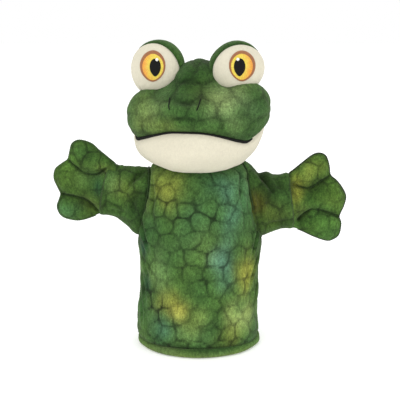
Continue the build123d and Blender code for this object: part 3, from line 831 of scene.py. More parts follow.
# the stitched lines that part the fingers
HAND_CREASES = {
    "right": [
        [(35.2, 29.6), (29.5, 24.5), (21.9, 18.4), (13, 16.0), (6.5, 17.0), (0.5, 21.5)],
        [(42.6, -2.4), (34.5, -3.4), (28.5, -4.8), (19.8, -7.8), (13.5, -12.6), (8.8, -17.6)],
    ],
    "left": [
        [(33.4, 24.4), (26, 19.5), (15.6, 13.2), (8, 13.2), (0.0, 16.0)],
        [(42.6, -15.4), (32, -10.5), (18.4, -7.2), (11.5, -10.5), (4.8, -16.5)],
    ],
}
HAND_MIDDLE = {"right": (17, 5), "left": (17, 0)}
HAND_GREEN = srgb(68, 101, 40)
HAND_DEPTH = 10.8
HAND_RINGS, HAND_SPOKES = 26, 168
CREASE_DEPTH = 0.66
HAND_PATCHES = {
    "right": [
        ((-104, -8, 160), (14, 30, 12), LIGHT_GREEN, 0.22),
        ((-92, -8, 151), (6, 30, 11), srgb(28, 66, 44), 0.75),
        ((-119, -8, 172), (9, 30, 12), srgb(92, 138, 54), 0.45),
        ((-103, -8, 178), (9, 30, 7), DEEP_GREEN, 0.4),
        ((-106, -8, 130), (7, 30, 6), srgb(30, 64, 34), 0.6),
        ((-88, -8, 166), (7, 30, 4), srgb(120, 146, 66), 0.6), ((-122, -8, 126), (12, 30, 9), TEAL, 0.15),
        ((-108, -8, 182), (12, 30, 8), BASE_GREEN, 0.5), ((-98, -8, 132), (9, 30, 9), OLIVE, 0.25),
    ],
    "left": [
        ((89, -9, 147), (6, 30, 12), srgb(166, 166, 62), 0.8),
        ((110, -9, 146), (15, 30, 8), srgb(24, 50, 14), 0.85),
        ((101, -9, 140), (4, 30, 10), srgb(28, 56, 18), 0.7),
        ((99, -9, 162), (5, 30, 12), srgb(124, 138, 58), 0.6),
        ((120, -9, 134), (9, 30, 7), srgb(96, 124, 52), 0.5),
        ((112, -9, 130), (16, 30, 12), DEEP_GREEN, 0.3), ((96, -9, 118), (9, 30, 9), DEEP_GREEN, 0.5),
        ((108, -9, 168), (12, 30, 9), OLIVE, 0.35), ((120, -9, 108), (10, 30, 8), BASE_GREEN, 0.4),
        ((93, -9, 128), (7, 30, 7), OLIVE, 0.4),
    ],
}


def hand_outline(side):
    line = curve_points(HAND_OUTLINE[side], 400)
    start, end = np.array(HAND_OUTLINE[side][0]), np.array(HAND_OUTLINE[side][-1])
    back = np.array([-7.0, 0.0])
    root = curve_points([start, start * 0.84 + back, end * 0.84 + back, end], 120)[1:-1][::-1]
    return line, np.concatenate([line, root])


def swell(side):
    """How thick the stuffed hand is over its flat outline: a membrane blown up between its seams."""
    line, _ = hand_outline(side)
    low, high = np.array([-34.0, -46.0]), np.array([56.0, 54.0])
    step = 1.0
    xs, zs = np.arange(low[0], high[0], step), np.arange(low[1], high[1], step)
    px, pz = np.meshgrid(xs, zs, indexing="ij")
    start, end = line[0], line[-1]
    far_back = [start + (-30, 0), end + (-30, 0)]
    ring = np.concatenate([line, [far_back[1]], [far_back[0]]])
    inside = np.zeros(px.shape, bool)
    for a, b in zip(ring, np.roll(ring, -1, axis=0)):
        crosses = (a[1] > pz) != (b[1] > pz)
        at = a[0] + (pz - a[1]) * (b[0] - a[0]) / (b[1] - a[1] + 1e-12)
        inside ^= crosses & (px < at)
    held = np.ones(px.shape)
    p = np.stack([px, pz], axis=-1)
    for crease in HAND_CREASES[side]:
        far, _ = line_distance(p, curve_points(crease, 30))
        held = np.minimum(held, 1 - CREASE_DEPTH * bump(far, 1.5))
    w = np.zeros(px.shape)
    for _ in range(1500):
        beside = np.roll(w, 1, 0) + np.roll(w, -1, 0) + np.roll(w, 1, 1) + np.roll(w, -1, 1)
        spread = (beside + step * step) / 4
        w = np.where(inside, spread * np.where(held < 0.9, held ** 0.35, 1), 0)
    return low, step, np.sqrt(np.clip(w, 0, None))


def sample(field, low, step, p):
    """The field's value between its grid points."""
    at = (p - low) / step
    i = np.clip(np.floor(at).astype(int), 0, np.array(field.shape) - 2)
    f = np.clip(at - i, 0, 1)
    a, b = i[..., 0], i[..., 1]
    lower = field[a, b] * (1 - f[..., 0]) + field[a + 1, b] * f[..., 0]
    upper = field[a, b + 1] * (1 - f[..., 0]) + field[a + 1, b + 1] * f[..., 0]
    return lower * (1 - f[..., 1]) + upper * f[..., 1]


def simulate(piece, pinned, cap, pressure=4.0, frames=20):
    """Blows the piece up as cloth and gives its points back, in metres.

    pinned is how firmly each point is held, 0 to 1, and no point moves further than cap.
    """
    before = np.array([v.co for v in piece.data.vertices], float)
    group = piece.vertex_groups.new(name="held")
    for i, w in enumerate(pinned):
        if w > 0.01:
            group.add([i], float(w), "REPLACE")
    cloth = piece.modifiers.new("cloth", "CLOTH")
    cloth.settings.quality = 6
    cloth.settings.mass = 0.15
    cloth.settings.tension_stiffness = 12
    cloth.settings.compression_stiffness = 12
    cloth.settings.bending_stiffness = 0.4
    cloth.settings.use_pressure = True
    cloth.settings.uniform_pressure_force = pressure
    cloth.settings.vertex_group_mass = "held"
    cloth.settings.effector_weights.gravity = 0
    cloth.collision_settings.use_collision = False
    cloth.collision_settings.use_self_collision = False
    scene = bpy.context.scene
    for f in range(1, frames + 1):
        scene.frame_set(f)
    evaluated = piece.evaluated_get(bpy.context.evaluated_depsgraph_get())
    after = np.array([v.co for v in evaluated.data.vertices], float)
    piece.modifiers.remove(cloth)
    scene.frame_set(1)
    move = after - before
    far = np.linalg.norm(move, axis=1, keepdims=True)
    move *= np.minimum(1, cap / np.maximum(far, 1e-9))
    piece.vertex_groups.remove(group)
    return before + move


def make_hand(side):
    """The stuffed hand with its edge seam and the stitched lines between its fingers."""
    k = SIDES[side]
    wrist = JOINTS[f"{side}_wrist"]
    creases = [curve_points(crease, 30) for crease in HAND_CREASES[side]]

    def flattened(p):
        return np.stack([k * p[:, 0] - abs(wrist[0]), p[:, 2] - wrist[2]], axis=-1)

    def stood_up(flat, y):
        return np.stack([k * (abs(wrist[0]) + flat[..., 0]), np.broadcast_to(y, flat.shape[:-1]),
                         wrist[2] + flat[..., 1]], axis=-1)

    middle = np.array(HAND_MIDDLE[side], float)
    low, step, height = swell(side)
    scale = HAND_DEPTH / np.percentile(height[height > 0], 97)
    line, ring = hand_outline(side)
    angle = np.arctan2(ring[:, 1] - middle[1], ring[:, 0] - middle[0])
    reach = np.linalg.norm(ring - middle, axis=1)
    order = np.argsort(angle)
    spokes = np.linspace(-math.pi, math.pi, HAND_SPOKES, endpoint=False)
    three_turns = np.concatenate([angle[order] + 2 * math.pi * n for n in (-1, 0, 1)])
    around = np.interp(spokes, three_turns, np.tile(reach[order], 3))
    q = np.linspace(0, 1, HAND_RINGS) ** 0.8
    share = np.sin(q * math.pi / 2)
    ways = around[:, None] * np.stack([np.cos(spokes), np.sin(spokes)], axis=1)
    flat = middle + share[:, None, None] * ways
    thick = sample(height, low, step, flat) * scale
    edge_far, _ = line_distance(flat, line)
    thick = np.minimum(thick, 2.6 * np.sqrt(np.clip(edge_far, 0, None) * 2.4))
    thick[-1] = np.where(edge_far[-1] < 0.8, 0.15, thick[-1])
    rows = np.concatenate([stood_up(flat, wrist[1] - thick), stood_up(flat, wrist[1] + thick)[::-1]])
    faces = grid_faces(len(rows), HAND_SPOKES, 0, True)
    piece = make_object(f"{side}_hand_plush", rows, faces)
    # the cloth pass: the two panels are blown up between the seams and the stitched finger lines
    co = np.array([v.co for v in piece.data.vertices], float) / MM
    here = flattened(co)
    to_edge, _ = line_distance(here, line)
    pinned = bump(to_edge, 1.6)
    for crease in creases:
        far, _ = line_distance(here, crease)
        pinned = np.maximum(pinned, 0.96 * bump(far, 1.7))
    pinned = np.maximum(pinned, 1 - smooth_step(here[:, 0], -6, 8))
    co = simulate(piece, np.clip(pinned, 0, 1), 0.0035) / MM
    piece.data.vertices.foreach_set("co", (co * MM).astype(np.float32).ravel())
    piece.data.update()
    finer = piece.modifiers.new("finer", "SUBSURF")
    finer.levels = finer.render_levels = 1
    dense = bpy.data.meshes.new_from_object(piece.evaluated_get(bpy.context.evaluated_depsgraph_get()))
    piece.modifiers.clear()
    piece.data = dense
    # scales, seams and finger lines on the final mesh
    co = np.array([v.co for v in dense.vertices], float) / MM
    normal = np.array([v.normal for v in dense.vertices], float)
    here = flattened(co)
    seeds = jittered_seeds((-20, -50), (60, 60), (17, 15.5), (4.6, 4.2), 88 if side == "left" else 89)
    shifted = np.where((co[:, 1] < wrist[1])[:, None], here, here + np.array([5.0, 7.0]))
    edge, tone = cells(shifted, seeds)
    relief = scale_relief(edge, 0.15, 0.2)
    shade = np.ones(len(co))
    for crease in creases:
        far, _ = line_distance(here, crease)
        relief -= 1.3 * bump(far, 1.2)
        shade *= 1 - 0.45 * bump(far, 1.2) - 0.14 * bump(far, 5)
    to_edge, _ = line_distance(here, line)
    relief = relief * smooth_step(to_edge, 0.5, 4) - 0.5 * bump(to_edge - 2.2, 1.2)
    relief += 0.35 * waves(co, 18, 97 + k) * smooth_step(to_edge, 0, 6) + nap(co)
    shade *= 1 - 0.38 * bump(to_edge, 1.6)
    shade *= 1 - 0.45 * bump(here[:, 0] - (2.0 - here[:, 1] * 0.25), 2.6)
    rest = co + normal * relief[:, None]
    dense.vertices.foreach_set("co", (rest * MM).astype(np.float32).ravel())
    colour = dye_and_painted_light(co, HAND_GREEN, HAND_PATCHES[side], 100 + k, 0.17)
    colour = with_cells(colour, co, edge, tone, 0.40) * shade[:, None]
    set_tint(dense, colour)
    dense.attributes["rest_co"].data.foreach_set("vector", (rest * MM).astype(np.float32).ravel())
    dense.polygons.foreach_set("use_smooth", [True] * len(dense.polygons))
    dense.update()
    finish_piece(piece, GREEN_PLUSH, [f"{side}_hand_front_panel", f"{side}_hand_back_panel",
                                      f"{side}_hand_front_filling", f"{side}_hand_back_filling"])
    tree = BVHTree.FromPolygons([tuple(v) for v in rest], [tuple(f.vertices) for f in dense.polygons])
    # the serged edge and the stitches of the finger lines
    seam = curve_points(stood_up(line, wrist[1])[::4], 420)[6:-6]
    thickness, pale = (0.8, 0.7) if side == "left" else (0.5, 2.6)
    serged = tube(f"{side}_hand_edge_thread", seam, thickness, SEAM_SHADE * pale, 1.7, squash=(1, 1.25))
    finish_piece(serged, DARK_THREAD, [f"{side}_hand_edge_seam"])
    stitches = [serged]
    for place, crease in zip(("upper", "lower"), HAND_CREASES[side]):
        along = curve_points(crease, 60)[3:-4]
        pieces = []
        for facing, way in (("front", -1), ("back", 1)):
            points = []
            for start in stood_up(along, wrist[1] + way * 30):
                hit = tree.ray_cast(Vector(start), Vector((0, -way, 0)))[0]
                if hit is not None:
                    points.append(np.array(hit) + np.array([0, way * 0.05, 0]))
            run = curve_points(np.array(points)[::3], 70)
            pieces.append(tube(f"{side}_{place}_finger_line_{facing}", run, 0.34, SEAM_SHADE * 1.1, 2.2))
        finish_piece(pieces[0], DARK_THREAD, [f"{side}_{place}_finger_stitch"])
        finish_piece(pieces[1], DARK_THREAD)
        stitches += pieces
    start, end = ((k * (abs(wrist[0]) + out) * MM, wrist[1] * MM, wrist[2] * MM) for out in (-3, 13))
    for each in [piece] + stitches:
        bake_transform(each)


for side in SIDES:
    make_hand(side)


# ---- head --------------------------------------------------------------------------------
def turned(p, angle):
    """Points turned about the upright axis."""
    c, s = math.cos(angle), math.sin(angle)
    return np.stack([p[..., 0] * c - p[..., 1] * s, p[..., 0] * s + p[..., 1] * c, p[..., 2]], axis=-1)


def to_world(p):
    return turned(p, HEAD_YAW)


HEAD_ORIGIN = np.array([0.0, 10.0, 212.0])
HEAD_FORMS = [      # middle and half sizes of the stuffed head's rounded parts
    ((0, 4, 208), (59, 51, 44)),
    ((-3.5, -6, 192), (53.2, 44, 27.5)),
    ((0, -16, 222), (48, 36, 20)),
    ((43.4, -12.5, 224.4), (23.4, 25.5, 24.6)),
    ((-41, -13, 217), (21.5, 27, 23)),
    ((0, -1, 241), (26, 32, 25)),
]
HEAD_BLEND = 3.2


def head_field(p):
    total = np.zeros(p.shape[:-1])
    for centre, half in HEAD_FORMS:
        q = (p - np.array(centre, float)) / np.array(half, float)
        k0 = np.linalg.norm(q, axis=-1)
        k1 = np.linalg.norm(q / np.array(half, float), axis=-1)
        total += np.exp(-np.clip(k0 * (k0 - 1) / np.maximum(k1, 1e-9), -60, 200) / HEAD_BLEND)
    return -HEAD_BLEND * np.log(total) + 0.6


def head_direction(turn, rise):
    return np.stack([np.sin(turn) * np.cos(rise), -np.cos(turn) * np.cos(rise), np.sin(rise)], axis=-1)


def head_radius(direction):
    low, high = np.full(direction.shape[:-1], 5.0), np.full(direction.shape[:-1], 95.0)
    for _ in range(24):
        middle = (low + high) / 2
        outside = head_field(HEAD_ORIGIN + direction * middle[..., None]) > 0
        high = np.where(outside, middle, high)
        low = np.where(outside, low, middle)
    return (low + high) / 2


MOUTH_HALF_TURN = math.radians(63)       # how far round the head the mouth's corners are
BACK_SEAM_TURN = math.radians(96)        # where the back of the head starts
UNDER_RISE = math.radians(-66)           # how far under the head's cloth goes
TOP_RISE = math.radians(89.6)
HEAD_UNROLL = 50                         # millimetres of cloth for each radian round or up the head
NOSE_X = -3.0                            # the nose's middle, in the head's own directions
NOSE_BANDS = [(247.5, 1.0), (231.5, 1.3), (218.5, 1.1)]     # height and depth of the creases across the nose
DIMPLE = np.array([29.0, -46.0, 229.0])

# the seam's height at each turn from the middle of the face, in degrees
SEAM_HEIGHTS = [(0, 206), (15, 205.2), (30, 202), (45, 197.6), (55, 195.5), (63, 197.5), (75, 206), (90, 216),
                (110, 222), (180, 224)]


def seam_z(turn):
    """The height of the seam between the face and the jaw, round the head."""
    line = curve_points(SEAM_HEIGHTS, 240)
    return np.interp(np.degrees(np.abs(turn)), line[:, 0], line[:, 1])


def seam_rise(turn):
    """The same seam as an angle above the middle of the head."""
    rise = np.full(turn.shape, -0.1)
    for _ in range(30):
        r = head_radius(head_direction(turn, rise))
        short = seam_z(turn) - HEAD_ORIGIN[2] - r * np.sin(rise)
        rise = rise + 0.7 * short / np.maximum(r * np.cos(rise), 12)
    return rise


def sewn_here(turn):
    """1 where the face is sewn to the jaw, fading to 0 behind the seam of the back of the head."""
    return 1 - smooth_step(np.abs(turn), BACK_SEAM_TURN - 0.02, BACK_SEAM_TURN + 0.10)


def above_seam(turn, rise):
    """How far up the head from the seam each direction is, in millimetres of cloth."""
    return (rise - seam_rise_table(turn)) * HEAD_UNROLL


def from_back_seam(turn):
    return (np.abs(turn) - BACK_SEAM_TURN) * HEAD_UNROLL


def nose_band(p, z, height, width):
    """How near each point is to the crease across the nose at that height, 0 to 1."""
    off = p[..., 2] - z - 0.004 * p[..., 0] ** 2
    return bump(off, height) * bump(p[..., 0] - NOSE_X, width) * (p[..., 1] < 0)


def head_relief(p, turn, rise, edge):
    """Seams pulled in, the nose's bands, the dimple in the cheek, and the mouth's crease."""
    above = above_seam(turn, rise)
    sewn = sewn_here(turn)
    high = -2.6 * bump(above, 2.4) * sewn
    high += 1.2 * bump(above - 6.5, 4.5) * (above > 0) * sewn
    high -= 1.8 * bump(from_back_seam(turn), 2.4) * (1 - smooth_step(np.abs(rise), 1.1, 1.5))
    upper = np.maximum(smooth_step(above, 1, 5), 1 - sewn)
    high += upper * scale_relief(edge, 0.3, 0.4, 1.4)
    for z, depth in NOSE_BANDS:
        high -= upper * depth * nose_band(p, z, 1.9, 17)
    high -= 1.6 * bump(np.linalg.norm(p - DIMPLE, axis=-1), 3.2)
    return high + 0.5 * waves(p, 30, 120) + 0.18 * waves(p, 12, 121) + nap(p)


turn_table = np.linspace(-math.pi, math.pi, 361)
rise_table = seam_rise(turn_table)


def seam_rise_table(turn):
    return np.interp(turn, turn_table, rise_table)


FACE_PATCHES = [      # in the head's own directions
    ((31, -38, 234), (18, 30, 15), srgb(152, 176, 116), 0.62),
    ((40, -30, 222), (14, 30, 14), srgb(126, 156, 96), 0.4),
    ((-34, -42, 222), (18, 30, 15), srgb(126, 152, 88), 0.72),
    ((-20, -44, 212), (16, 30, 8), OLIVE, 0.35),
    ((0, -52, 238), (13, 30, 14), DEEP_GREEN, 0.35),
    ((14, -50, 226), (7, 30, 20), DEEP_GREEN, 0.5),
    ((0, -20, 254), (20, 26, 13), srgb(36, 68, 28), 0.85),
    ((52, -10, 232), (9, 22, 16), srgb(52, 88, 36), 0.6),
    ((20, -46, 211), (18, 30, 6), BASE_GREEN, 0.4),
    ((54, -10, 212), (9, 24, 12), DEEP_GREEN, 0.5),
]
HEAD_BACK_PATCHES = [
    ((-30, 40, 236), (20, 30, 16), OLIVE, 0.5), ((28, 46, 214), (20, 30, 18), TEAL, 0.45),
    ((0, 54, 196), (24, 30, 12), LIGHT_GREEN, 0.35), ((0, 20, 258), (30, 30, 14), DEEP_GREEN, 0.55),
]
# the scales' middles on the face, row by row; the rest of the head's are scattered
FACE_ROWS = [
    (211, (-48, -28, -6, 16, 37, 58)), (225.5, (-53, -33, -10, 12, 33, 54)),
    (241, (-45, -25, -2, 22, 46)), (255.5, (-31, -9, 12, 34)),
]
somewhere = jittered_seeds((-180, 150), (180, 280), (17, 15), (4.2, 3.6), 140)
face_seeds = np.array([seed for seed in somewhere if abs(seed[0]) > 66 or seed[1] < 202 or seed[1] > 264]
                      + [(u, z) for z, row in FACE_ROWS for u in row])


HEAD_GREEN = srgb(54, 88, 38)
SMOOTH = 9.0        # a distance to the scales' edges that gives cloth with no scales


def head_panel(name, turns, rises, cloth, nodes):
    """A panel of the head over a grid of directions."""
    direction = head_direction(turns, rises)
    p = HEAD_ORIGIN + direction * head_radius(direction)[..., None]
    above = above_seam(turns, rises)
    if cloth is CREAM_PLUSH:
        edge = np.full(turns.shape, SMOOTH)
        colour = CREAM * (1 + 0.02 * waves(p, 24, 5))[..., None]
        shade = (1 - 0.10 * bump(above, 2.0)) * (1 - 0.1 * smooth_step(-rises, 0.85, 1.1))
        inside = CREAM
    else:
        edge, tone = cells(np.stack([turns * 54 * np.cos(rises), p[..., 2]], axis=-1), face_seeds)
        colour = dye_and_painted_light(p, HEAD_GREEN, FACE_PATCHES + HEAD_BACK_PATCHES, 131)
        colour = with_cells(colour, p, edge, tone, 0.40, 1.3)
        shade = 1 - 0.30 * bump(above, 2.2) * (above > -3) * sewn_here(turns)
        shade *= 1 - 0.35 * bump(from_back_seam(turns), 1.8)
        for z, _ in NOSE_BANDS:
            shade *= 1 - 0.46 * nose_band(p, z, 2.0, 18)
        shade *= 1 - 0.3 * bump(np.linalg.norm(p - DIMPLE, axis=-1), 2.4)
        inside = LINING_TINT
    outer = p + direction * head_relief(p, turns, rises, edge)[..., None]
    inner = outer - direction * PLUSH
    piece = shell(name, to_world(outer), to_world(inner), colour * shade[..., None], inside)
    finish_piece(piece, cloth, nodes, rides="head")


def between(low, high, rows):
    """Rows of rises from one line of the head to another."""
    share = np.linspace(0, 1, rows)[:, None]
    return low[None] * (1 - share) + high[None] * share


front_turns = np.linspace(-BACK_SEAM_TURN, BACK_SEAM_TURN, 230)
back_turns = np.linspace(BACK_SEAM_TURN, 2 * math.pi - BACK_SEAM_TURN, 200)
seam_front = seam_rise_table(front_turns)
upper_rises = between(seam_front, np.full_like(front_turns, TOP_RISE), 110)
jaw_rises = between(np.full_like(front_turns, UNDER_RISE), seam_front, 80)
back_rises = between(np.full_like(back_turns, UNDER_RISE), np.full_like(back_turns, TOP_RISE), 150)


head_panel("face_plush", np.broadcast_to(front_turns, upper_rises.shape), upper_rises, GREEN_PLUSH,
           ["upper_face_panel", "head_filling", "finger_pocket"])
head_panel("jaw_plush", np.broadcast_to(front_turns, jaw_rises.shape), jaw_rises, CREAM_PLUSH, ["jaw_panel"])
back_turns = (back_turns + math.pi) % (2 * math.pi) - math.pi
head_panel("head_back_plush", np.broadcast_to(back_turns, back_rises.shape), back_rises, GREEN_PLUSH,
           ["head_back_panel"])


def on_head(turn, rise, proud):
    """A point that stands proud of the finished cloth of the head in a direction."""
    direction = head_direction(turn, rise)
    p = HEAD_ORIGIN + direction * head_radius(direction)[..., None]
    relief = head_relief(p, turn, rise, np.full(turn.shape, SMOOTH))
    return to_world(p + direction * (relief + proud)[..., None])


# the mouth's satin line
mouth_turn = np.linspace(-MOUTH_HALF_TURN, MOUTH_HALF_TURN, 260)
mouth_line = on_head(mouth_turn, seam_rise_table(mouth_turn), 0.7)
taper = 0.72 + 0.45 * smooth_step(np.abs(mouth_turn), 0.3, 0.9)
taper *= 0.5 + 0.5 * smooth_step(MOUTH_HALF_TURN - np.abs(mouth_turn), 0, 0.14)
mouth = tube("mouth_satin_line", mouth_line, 1.15 * taper, srgb(14, 15, 12), 1.3, squash=(1.0, 0.9))
finish_piece(mouth, BLACK_THREAD, ["mouth_stitch"], rides="head")


def on_face(x, z, proud):
    """A point on the front of the head above a place seen from the front, in the head's directions."""
    x, z = np.broadcast_arrays(np.asarray(x, float), np.asarray(z, float))
    low, high = np.full(x.shape, -80.0), np.full(x.shape, 0.0)
    for _ in range(26):
        middle = (low + high) / 2
        outside = head_field(np.stack([x, middle, z], axis=-1)) > 0
        low = np.where(outside, middle, low)
        high = np.where(outside, high, middle)
    p = np.stack([x, (low + high) / 2, z], axis=-1)
    d = p - HEAD_ORIGIN
    r = np.linalg.norm(d, axis=-1)
    turn, rise = np.arctan2(d[..., 0], -d[..., 1]), np.arcsin(d[..., 2] / r)
    return on_head(turn, rise, proud)


NOSTRIL_LOW, NOSTRIL_TALL = 225.6, 9.8
for side, k in SIDES.items():
    share = np.linspace(0, 1, 22)
    x = NOSE_X + k * (11.9 + 1.7 * share + 0.35 * np.sin(share * math.pi))
    line = on_face(x, NOSTRIL_LOW + NOSTRIL_TALL * share, 0.3)
    thickness = 0.55 * np.interp(np.arange(22), [0, 3, 18, 21], [0.5, 1, 1, 0.6])
    nostril = tube(f"{side}_nostril_line", line, thickness, srgb(18, 24, 14), 1.2)
    finish_piece(nostril, BLACK_THREAD, [f"{side}_nostril_stitch"], rides="head")


# ---- eyes --------------------------------------------------------------------------------
EYE_HALVES = {"left": (24.4, 20.5, 23.4), "right": (24.4, 20.5, 25.3)}
EYE_DROP = {"left": 0.0, "right": 1.9}
EYE_SEAM_OUT, EYE_SEAM_DOWN = {"left": 30, "right": 14}, 16      # the way an eye's cream front faces
EYE_SEAM_ANGLE = math.radians(84)
STITCH_BACK = srgb(60, 50, 30)
IRIS_HALF = (12.6, 14.6)
IRIS_SATIN_HALF = (12.0, 14.0)
RIM_WIDTH = 2.7
PUPIL_HALF = (5.2, 7.9)
PUPIL_IN, PUPIL_LOW = 2.9, 1.2       # the pupil sits this far towards the nose and below the iris's middle
EYE_INWARD = 3.5        # the stuffed eye sits this far nearer to the middle of the head than its solid
IRIS_LOOK = {"left": (21.0, 9.5), "right": (0.5, 9.5)}     # the iris's place: degrees towards +X, and up


def axes_about(facing):
    side = np.cross(facing, [0.0, 0.0, 1.0])
    side /= np.linalg.norm(side)
    return side, np.cross(side, facing)


def pointed(angle, top, bottom):
    """The outline of a pointed oval: 1 on the sides, a little more at the top and bottom."""
    s = np.sin(angle)
    return 1 + top * np.clip(s, 0, 1) ** 7 + bottom * np.clip(-s, 0, 1) ** 7


for side, k in SIDES.items():
    eye_low, eye_high = (np.array(v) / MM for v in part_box(f"{side}_eye_front"))
    back_low, back_high = (np.array(v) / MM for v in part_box(f"{side}_eye_back"))
    centre = (np.minimum(eye_low, back_low) + np.maximum(eye_high, back_high)) / 2
    head_centre = turned(centre, -HEAD_YAW) - np.array([k * EYE_INWARD, 0, EYE_DROP[side]])
    EYE_HALF = np.array(EYE_HALVES[side])
    out, down = math.radians(EYE_SEAM_OUT[side]), math.radians(EYE_SEAM_DOWN)
    facing = np.array([k * math.sin(out) * math.cos(down), -math.cos(out) * math.cos(down), -math.sin(down)])
    across, upward = axes_about(facing)

    def on_eye(polar, around, proud=0.0):
        d = (np.cos(polar)[..., None] * facing + (np.sin(polar) * np.cos(around))[..., None] * across
             + (np.sin(polar) * np.sin(around))[..., None] * upward)
        n = d / EYE_HALF
        n /= np.linalg.norm(n, axis=-1, keepdims=True)
        puff = -1.3 * bump((polar - EYE_SEAM_ANGLE) * 22, 1.8)
        puff = puff + 0.35 * waves(d * 20, 22, 150 + k) + 0.05 * waves(d * 22, 2.6, 12, 20)
        flat = head_centre + d * EYE_HALF + n * (np.broadcast_to(proud, polar.shape) + puff)[..., None]
        return to_world(flat)

    for part, low, high in (("front", 0.0, EYE_SEAM_ANGLE), ("back", EYE_SEAM_ANGLE, math.pi)):
        polar, around = ring_grid(np.linspace(low, high, 56), 128)
        outer, inner = on_eye(polar, around), on_eye(polar, around, -1.2)
        from_seam = (polar - EYE_SEAM_ANGLE) * 22
        if part == "front":
            # painted shade along the seam between the eye's front and back
            colour, cloth, inside = CREAM * (1 - 0.18 * bump(from_seam, 2.6))[..., None], CREAM_PLUSH, CREAM
            nodes = [f"{side}_eye_front", f"{side}_eye_filling"]
        else:
            # painted shade along the same seam
            colour = dye_and_painted_light(outer, srgb(56, 90, 40), [], 160 + k) * (1 - 0.3 * bump(from_seam, 2.2))[..., None]
            cloth, inside, nodes = GREEN_PLUSH, LINING_TINT, [f"{side}_eye_back"]
        piece = shell(f"{side}_eye_{part}_plush", outer, inner, colour, inside, wrap=True)
        finish_piece(piece, cloth, nodes, rides="head")

    # the embroidered eye: iris, rim, pupil and highlight lie on the cream cloth
    look = head_direction(*np.radians(IRIS_LOOK[side]))
    place = look * EYE_HALF
    normal = look / EYE_HALF
    normal /= np.linalg.norm(normal)
    right, top = axes_about(normal)
    right = -right      # towards the head's +X

    def on_iris(u, v, proud):
        """A point over the eye from millimetres across and up the iris."""
        q = place + u[..., None] * right + v[..., None] * top
        d = q / EYE_HALF
        d /= np.linalg.norm(d, axis=-1, keepdims=True)
        n = d / EYE_HALF
        n /= np.linalg.norm(n, axis=-1, keepdims=True)
        puff = 0.35 * waves(d * 20, 22, 150 + k)
        return to_world(head_centre + d * EYE_HALF + n * (proud + puff)[..., None])

    def patch(part, node, half, height, colour_of, cloth, slot, points=(0.04, 0.10), shift=(0, 0), rim=0.0):
        """A piece of satin stitch over the eye: a pointed oval, or with rim a ring of about that width."""
        along, around = ring_grid(np.linspace(0, 1, 24), 120)
        hole = 1 - rim * (1 + 0.38 * np.sin(around) + 0.22 * k * np.cos(around)) / half[0] if rim else 0.0
        share = hole + (1 - hole) * along
        u = share * half[0] * np.cos(around)
        v = share * half[1] * np.sin(around) * pointed(around, *points)
        ridge = 0.10 * np.sin(around * 60) * smooth_step(share, 0.2, 0.9)
        if rim:
            dome = height * (0.62 + 0.38 * np.sin(math.pi * along)) + ridge
        else:
            dome = height * (1 - 0.75 * smooth_step(share, 0.9, 1.0)) + ridge
        outer = on_iris(shift[0] + u, shift[1] + v, dome)
        inner = on_iris(shift[0] + u, shift[1] + v, np.full(u.shape, -0.35))
        colour = colour_of(u, v, share, around)
        piece = shell(f"{side}_{part}_satin", outer, inner, colour, STITCH_BACK, wrap=True)
        finish_piece(piece, cloth, [f"{side}_{node}"], rides="head")

    def iris_colour(u, v, share, around):
        fray = 0.08 * np.sin(around * 17 + 3 * np.sin(around * 5))
        w = smooth_step(0.45 * share + 0.62 * k * u / IRIS_HALF[0] + fray, 0.1, 0.85)[..., None]
        threads = 1 + 0.10 * np.sin(around * 46 + 2 * np.sin(around * 9))
        return (srgb(240, 214, 78) * (1 - w) + srgb(240, 156, 56) * w) * threads[..., None]

    def rim_colour(u, v, share, around):
        return srgb(158, 100, 58) * (1 + 0.12 * np.sin(around * 70))[..., None]

    def pupil_colour(u, v, share, around):
        return srgb(9, 8, 7) * (1 + 0.2 * np.sin(v * 9))[..., None]

    def spark_colour(u, v, share, around):
        return np.broadcast_to(srgb(250, 248, 240), (*u.shape, 3))

    patch("iris", "iris", IRIS_SATIN_HALF, 0.55, iris_colour, SATIN_THREAD, "iris_thread")
    patch("iris_rim", "iris_rim", IRIS_HALF, 0.95, rim_colour, SATIN_THREAD, "iris_rim", rim=RIM_WIDTH)
    patch("pupil", "pupil", PUPIL_HALF, 0.95, pupil_colour, BLACK_THREAD, "black_thread", (-0.04, 0.16),
          shift=(-k * PUPIL_IN, -PUPIL_LOW))
    patch("highlight", "eye_highlight", (1.45, 1.5), 1.35, spark_colour, SATIN_THREAD, "white_thread", (0, 0),
          shift=(-k * (PUPIL_IN + 1.3), 6.3 - PUPIL_LOW))


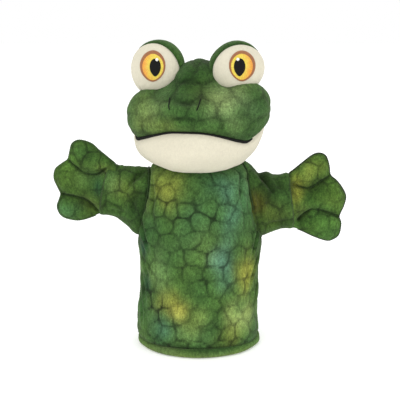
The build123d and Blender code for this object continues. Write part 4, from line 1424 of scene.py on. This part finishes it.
# ---- floor, light and camera -------------------------------------------------------------
FLOOR_GLOW = 0.22       # keeps the floor as pale as the background
LIGHT_AIM = (0, 0, 0.15)
SENSOR, LENS = 36, 87.948       # millimetres
PITCH = math.radians(13)
DISTANCE = 0.9
AIM = Vector((0.001, 0.004, 0.1357))

scene = bpy.context.scene
scene.view_settings.view_transform = "Standard"
bpy.ops.mesh.primitive_plane_add(size=1, location=(0, 0, 0))
floor = bpy.context.object
floor.name = "floor"
floor.scale = (8, 8, 1)
floor_material, _, _, shader = new_material("pale_floor")
shader.inputs["Base Color"].default_value = (0.97, 0.97, 0.97, 1)
shader.inputs["Roughness"].default_value = 0.9
shader.inputs["Specular IOR Level"].default_value = 0.1
shader.inputs["Emission Color"].default_value = (1, 1, 1, 1)
shader.inputs["Emission Strength"].default_value = FLOOR_GLOW
floor.data.materials.append(floor_material)

world = bpy.data.worlds.new("studio")
scene.world = world
world.use_nodes = True
world.node_tree.nodes["Background"].inputs["Color"].default_value = (1, 1, 1, 1)
world.node_tree.nodes["Background"].inputs["Strength"].default_value = 1.0


def area_light(name, location, size, power):
    light = bpy.data.lights.new(name, "AREA")
    light.shape = "DISK"
    light.size = size
    light.energy = power
    made = bpy.data.objects.new(name, light)
    made.location = location
    made.rotation_mode = "QUATERNION"
    made.rotation_quaternion = (Vector(LIGHT_AIM) - Vector(location)).to_track_quat("-Z", "Y")
    scene.collection.objects.link(made)


area_light("key", (-0.55, -0.95, 1.25), 0.8, 3.6)
area_light("fill", (0.9, -0.8, 0.7), 0.9, 1.6)
area_light("back", (0.1, 1.0, 1.1), 0.9, 2.0)

camera_data = bpy.data.cameras.new("camera")
camera_data.sensor_width = SENSOR
camera_data.lens = LENS
camera_data.clip_start = 0.05
camera = bpy.data.objects.new("camera", camera_data)
back = Vector((0, -math.cos(PITCH), math.sin(PITCH)))
camera.location = AIM + back * DISTANCE
camera.rotation_mode = "QUATERNION"
camera.rotation_quaternion = (-back).to_track_quat("-Z", "Y")
scene.collection.objects.link(camera)
scene.camera = camera
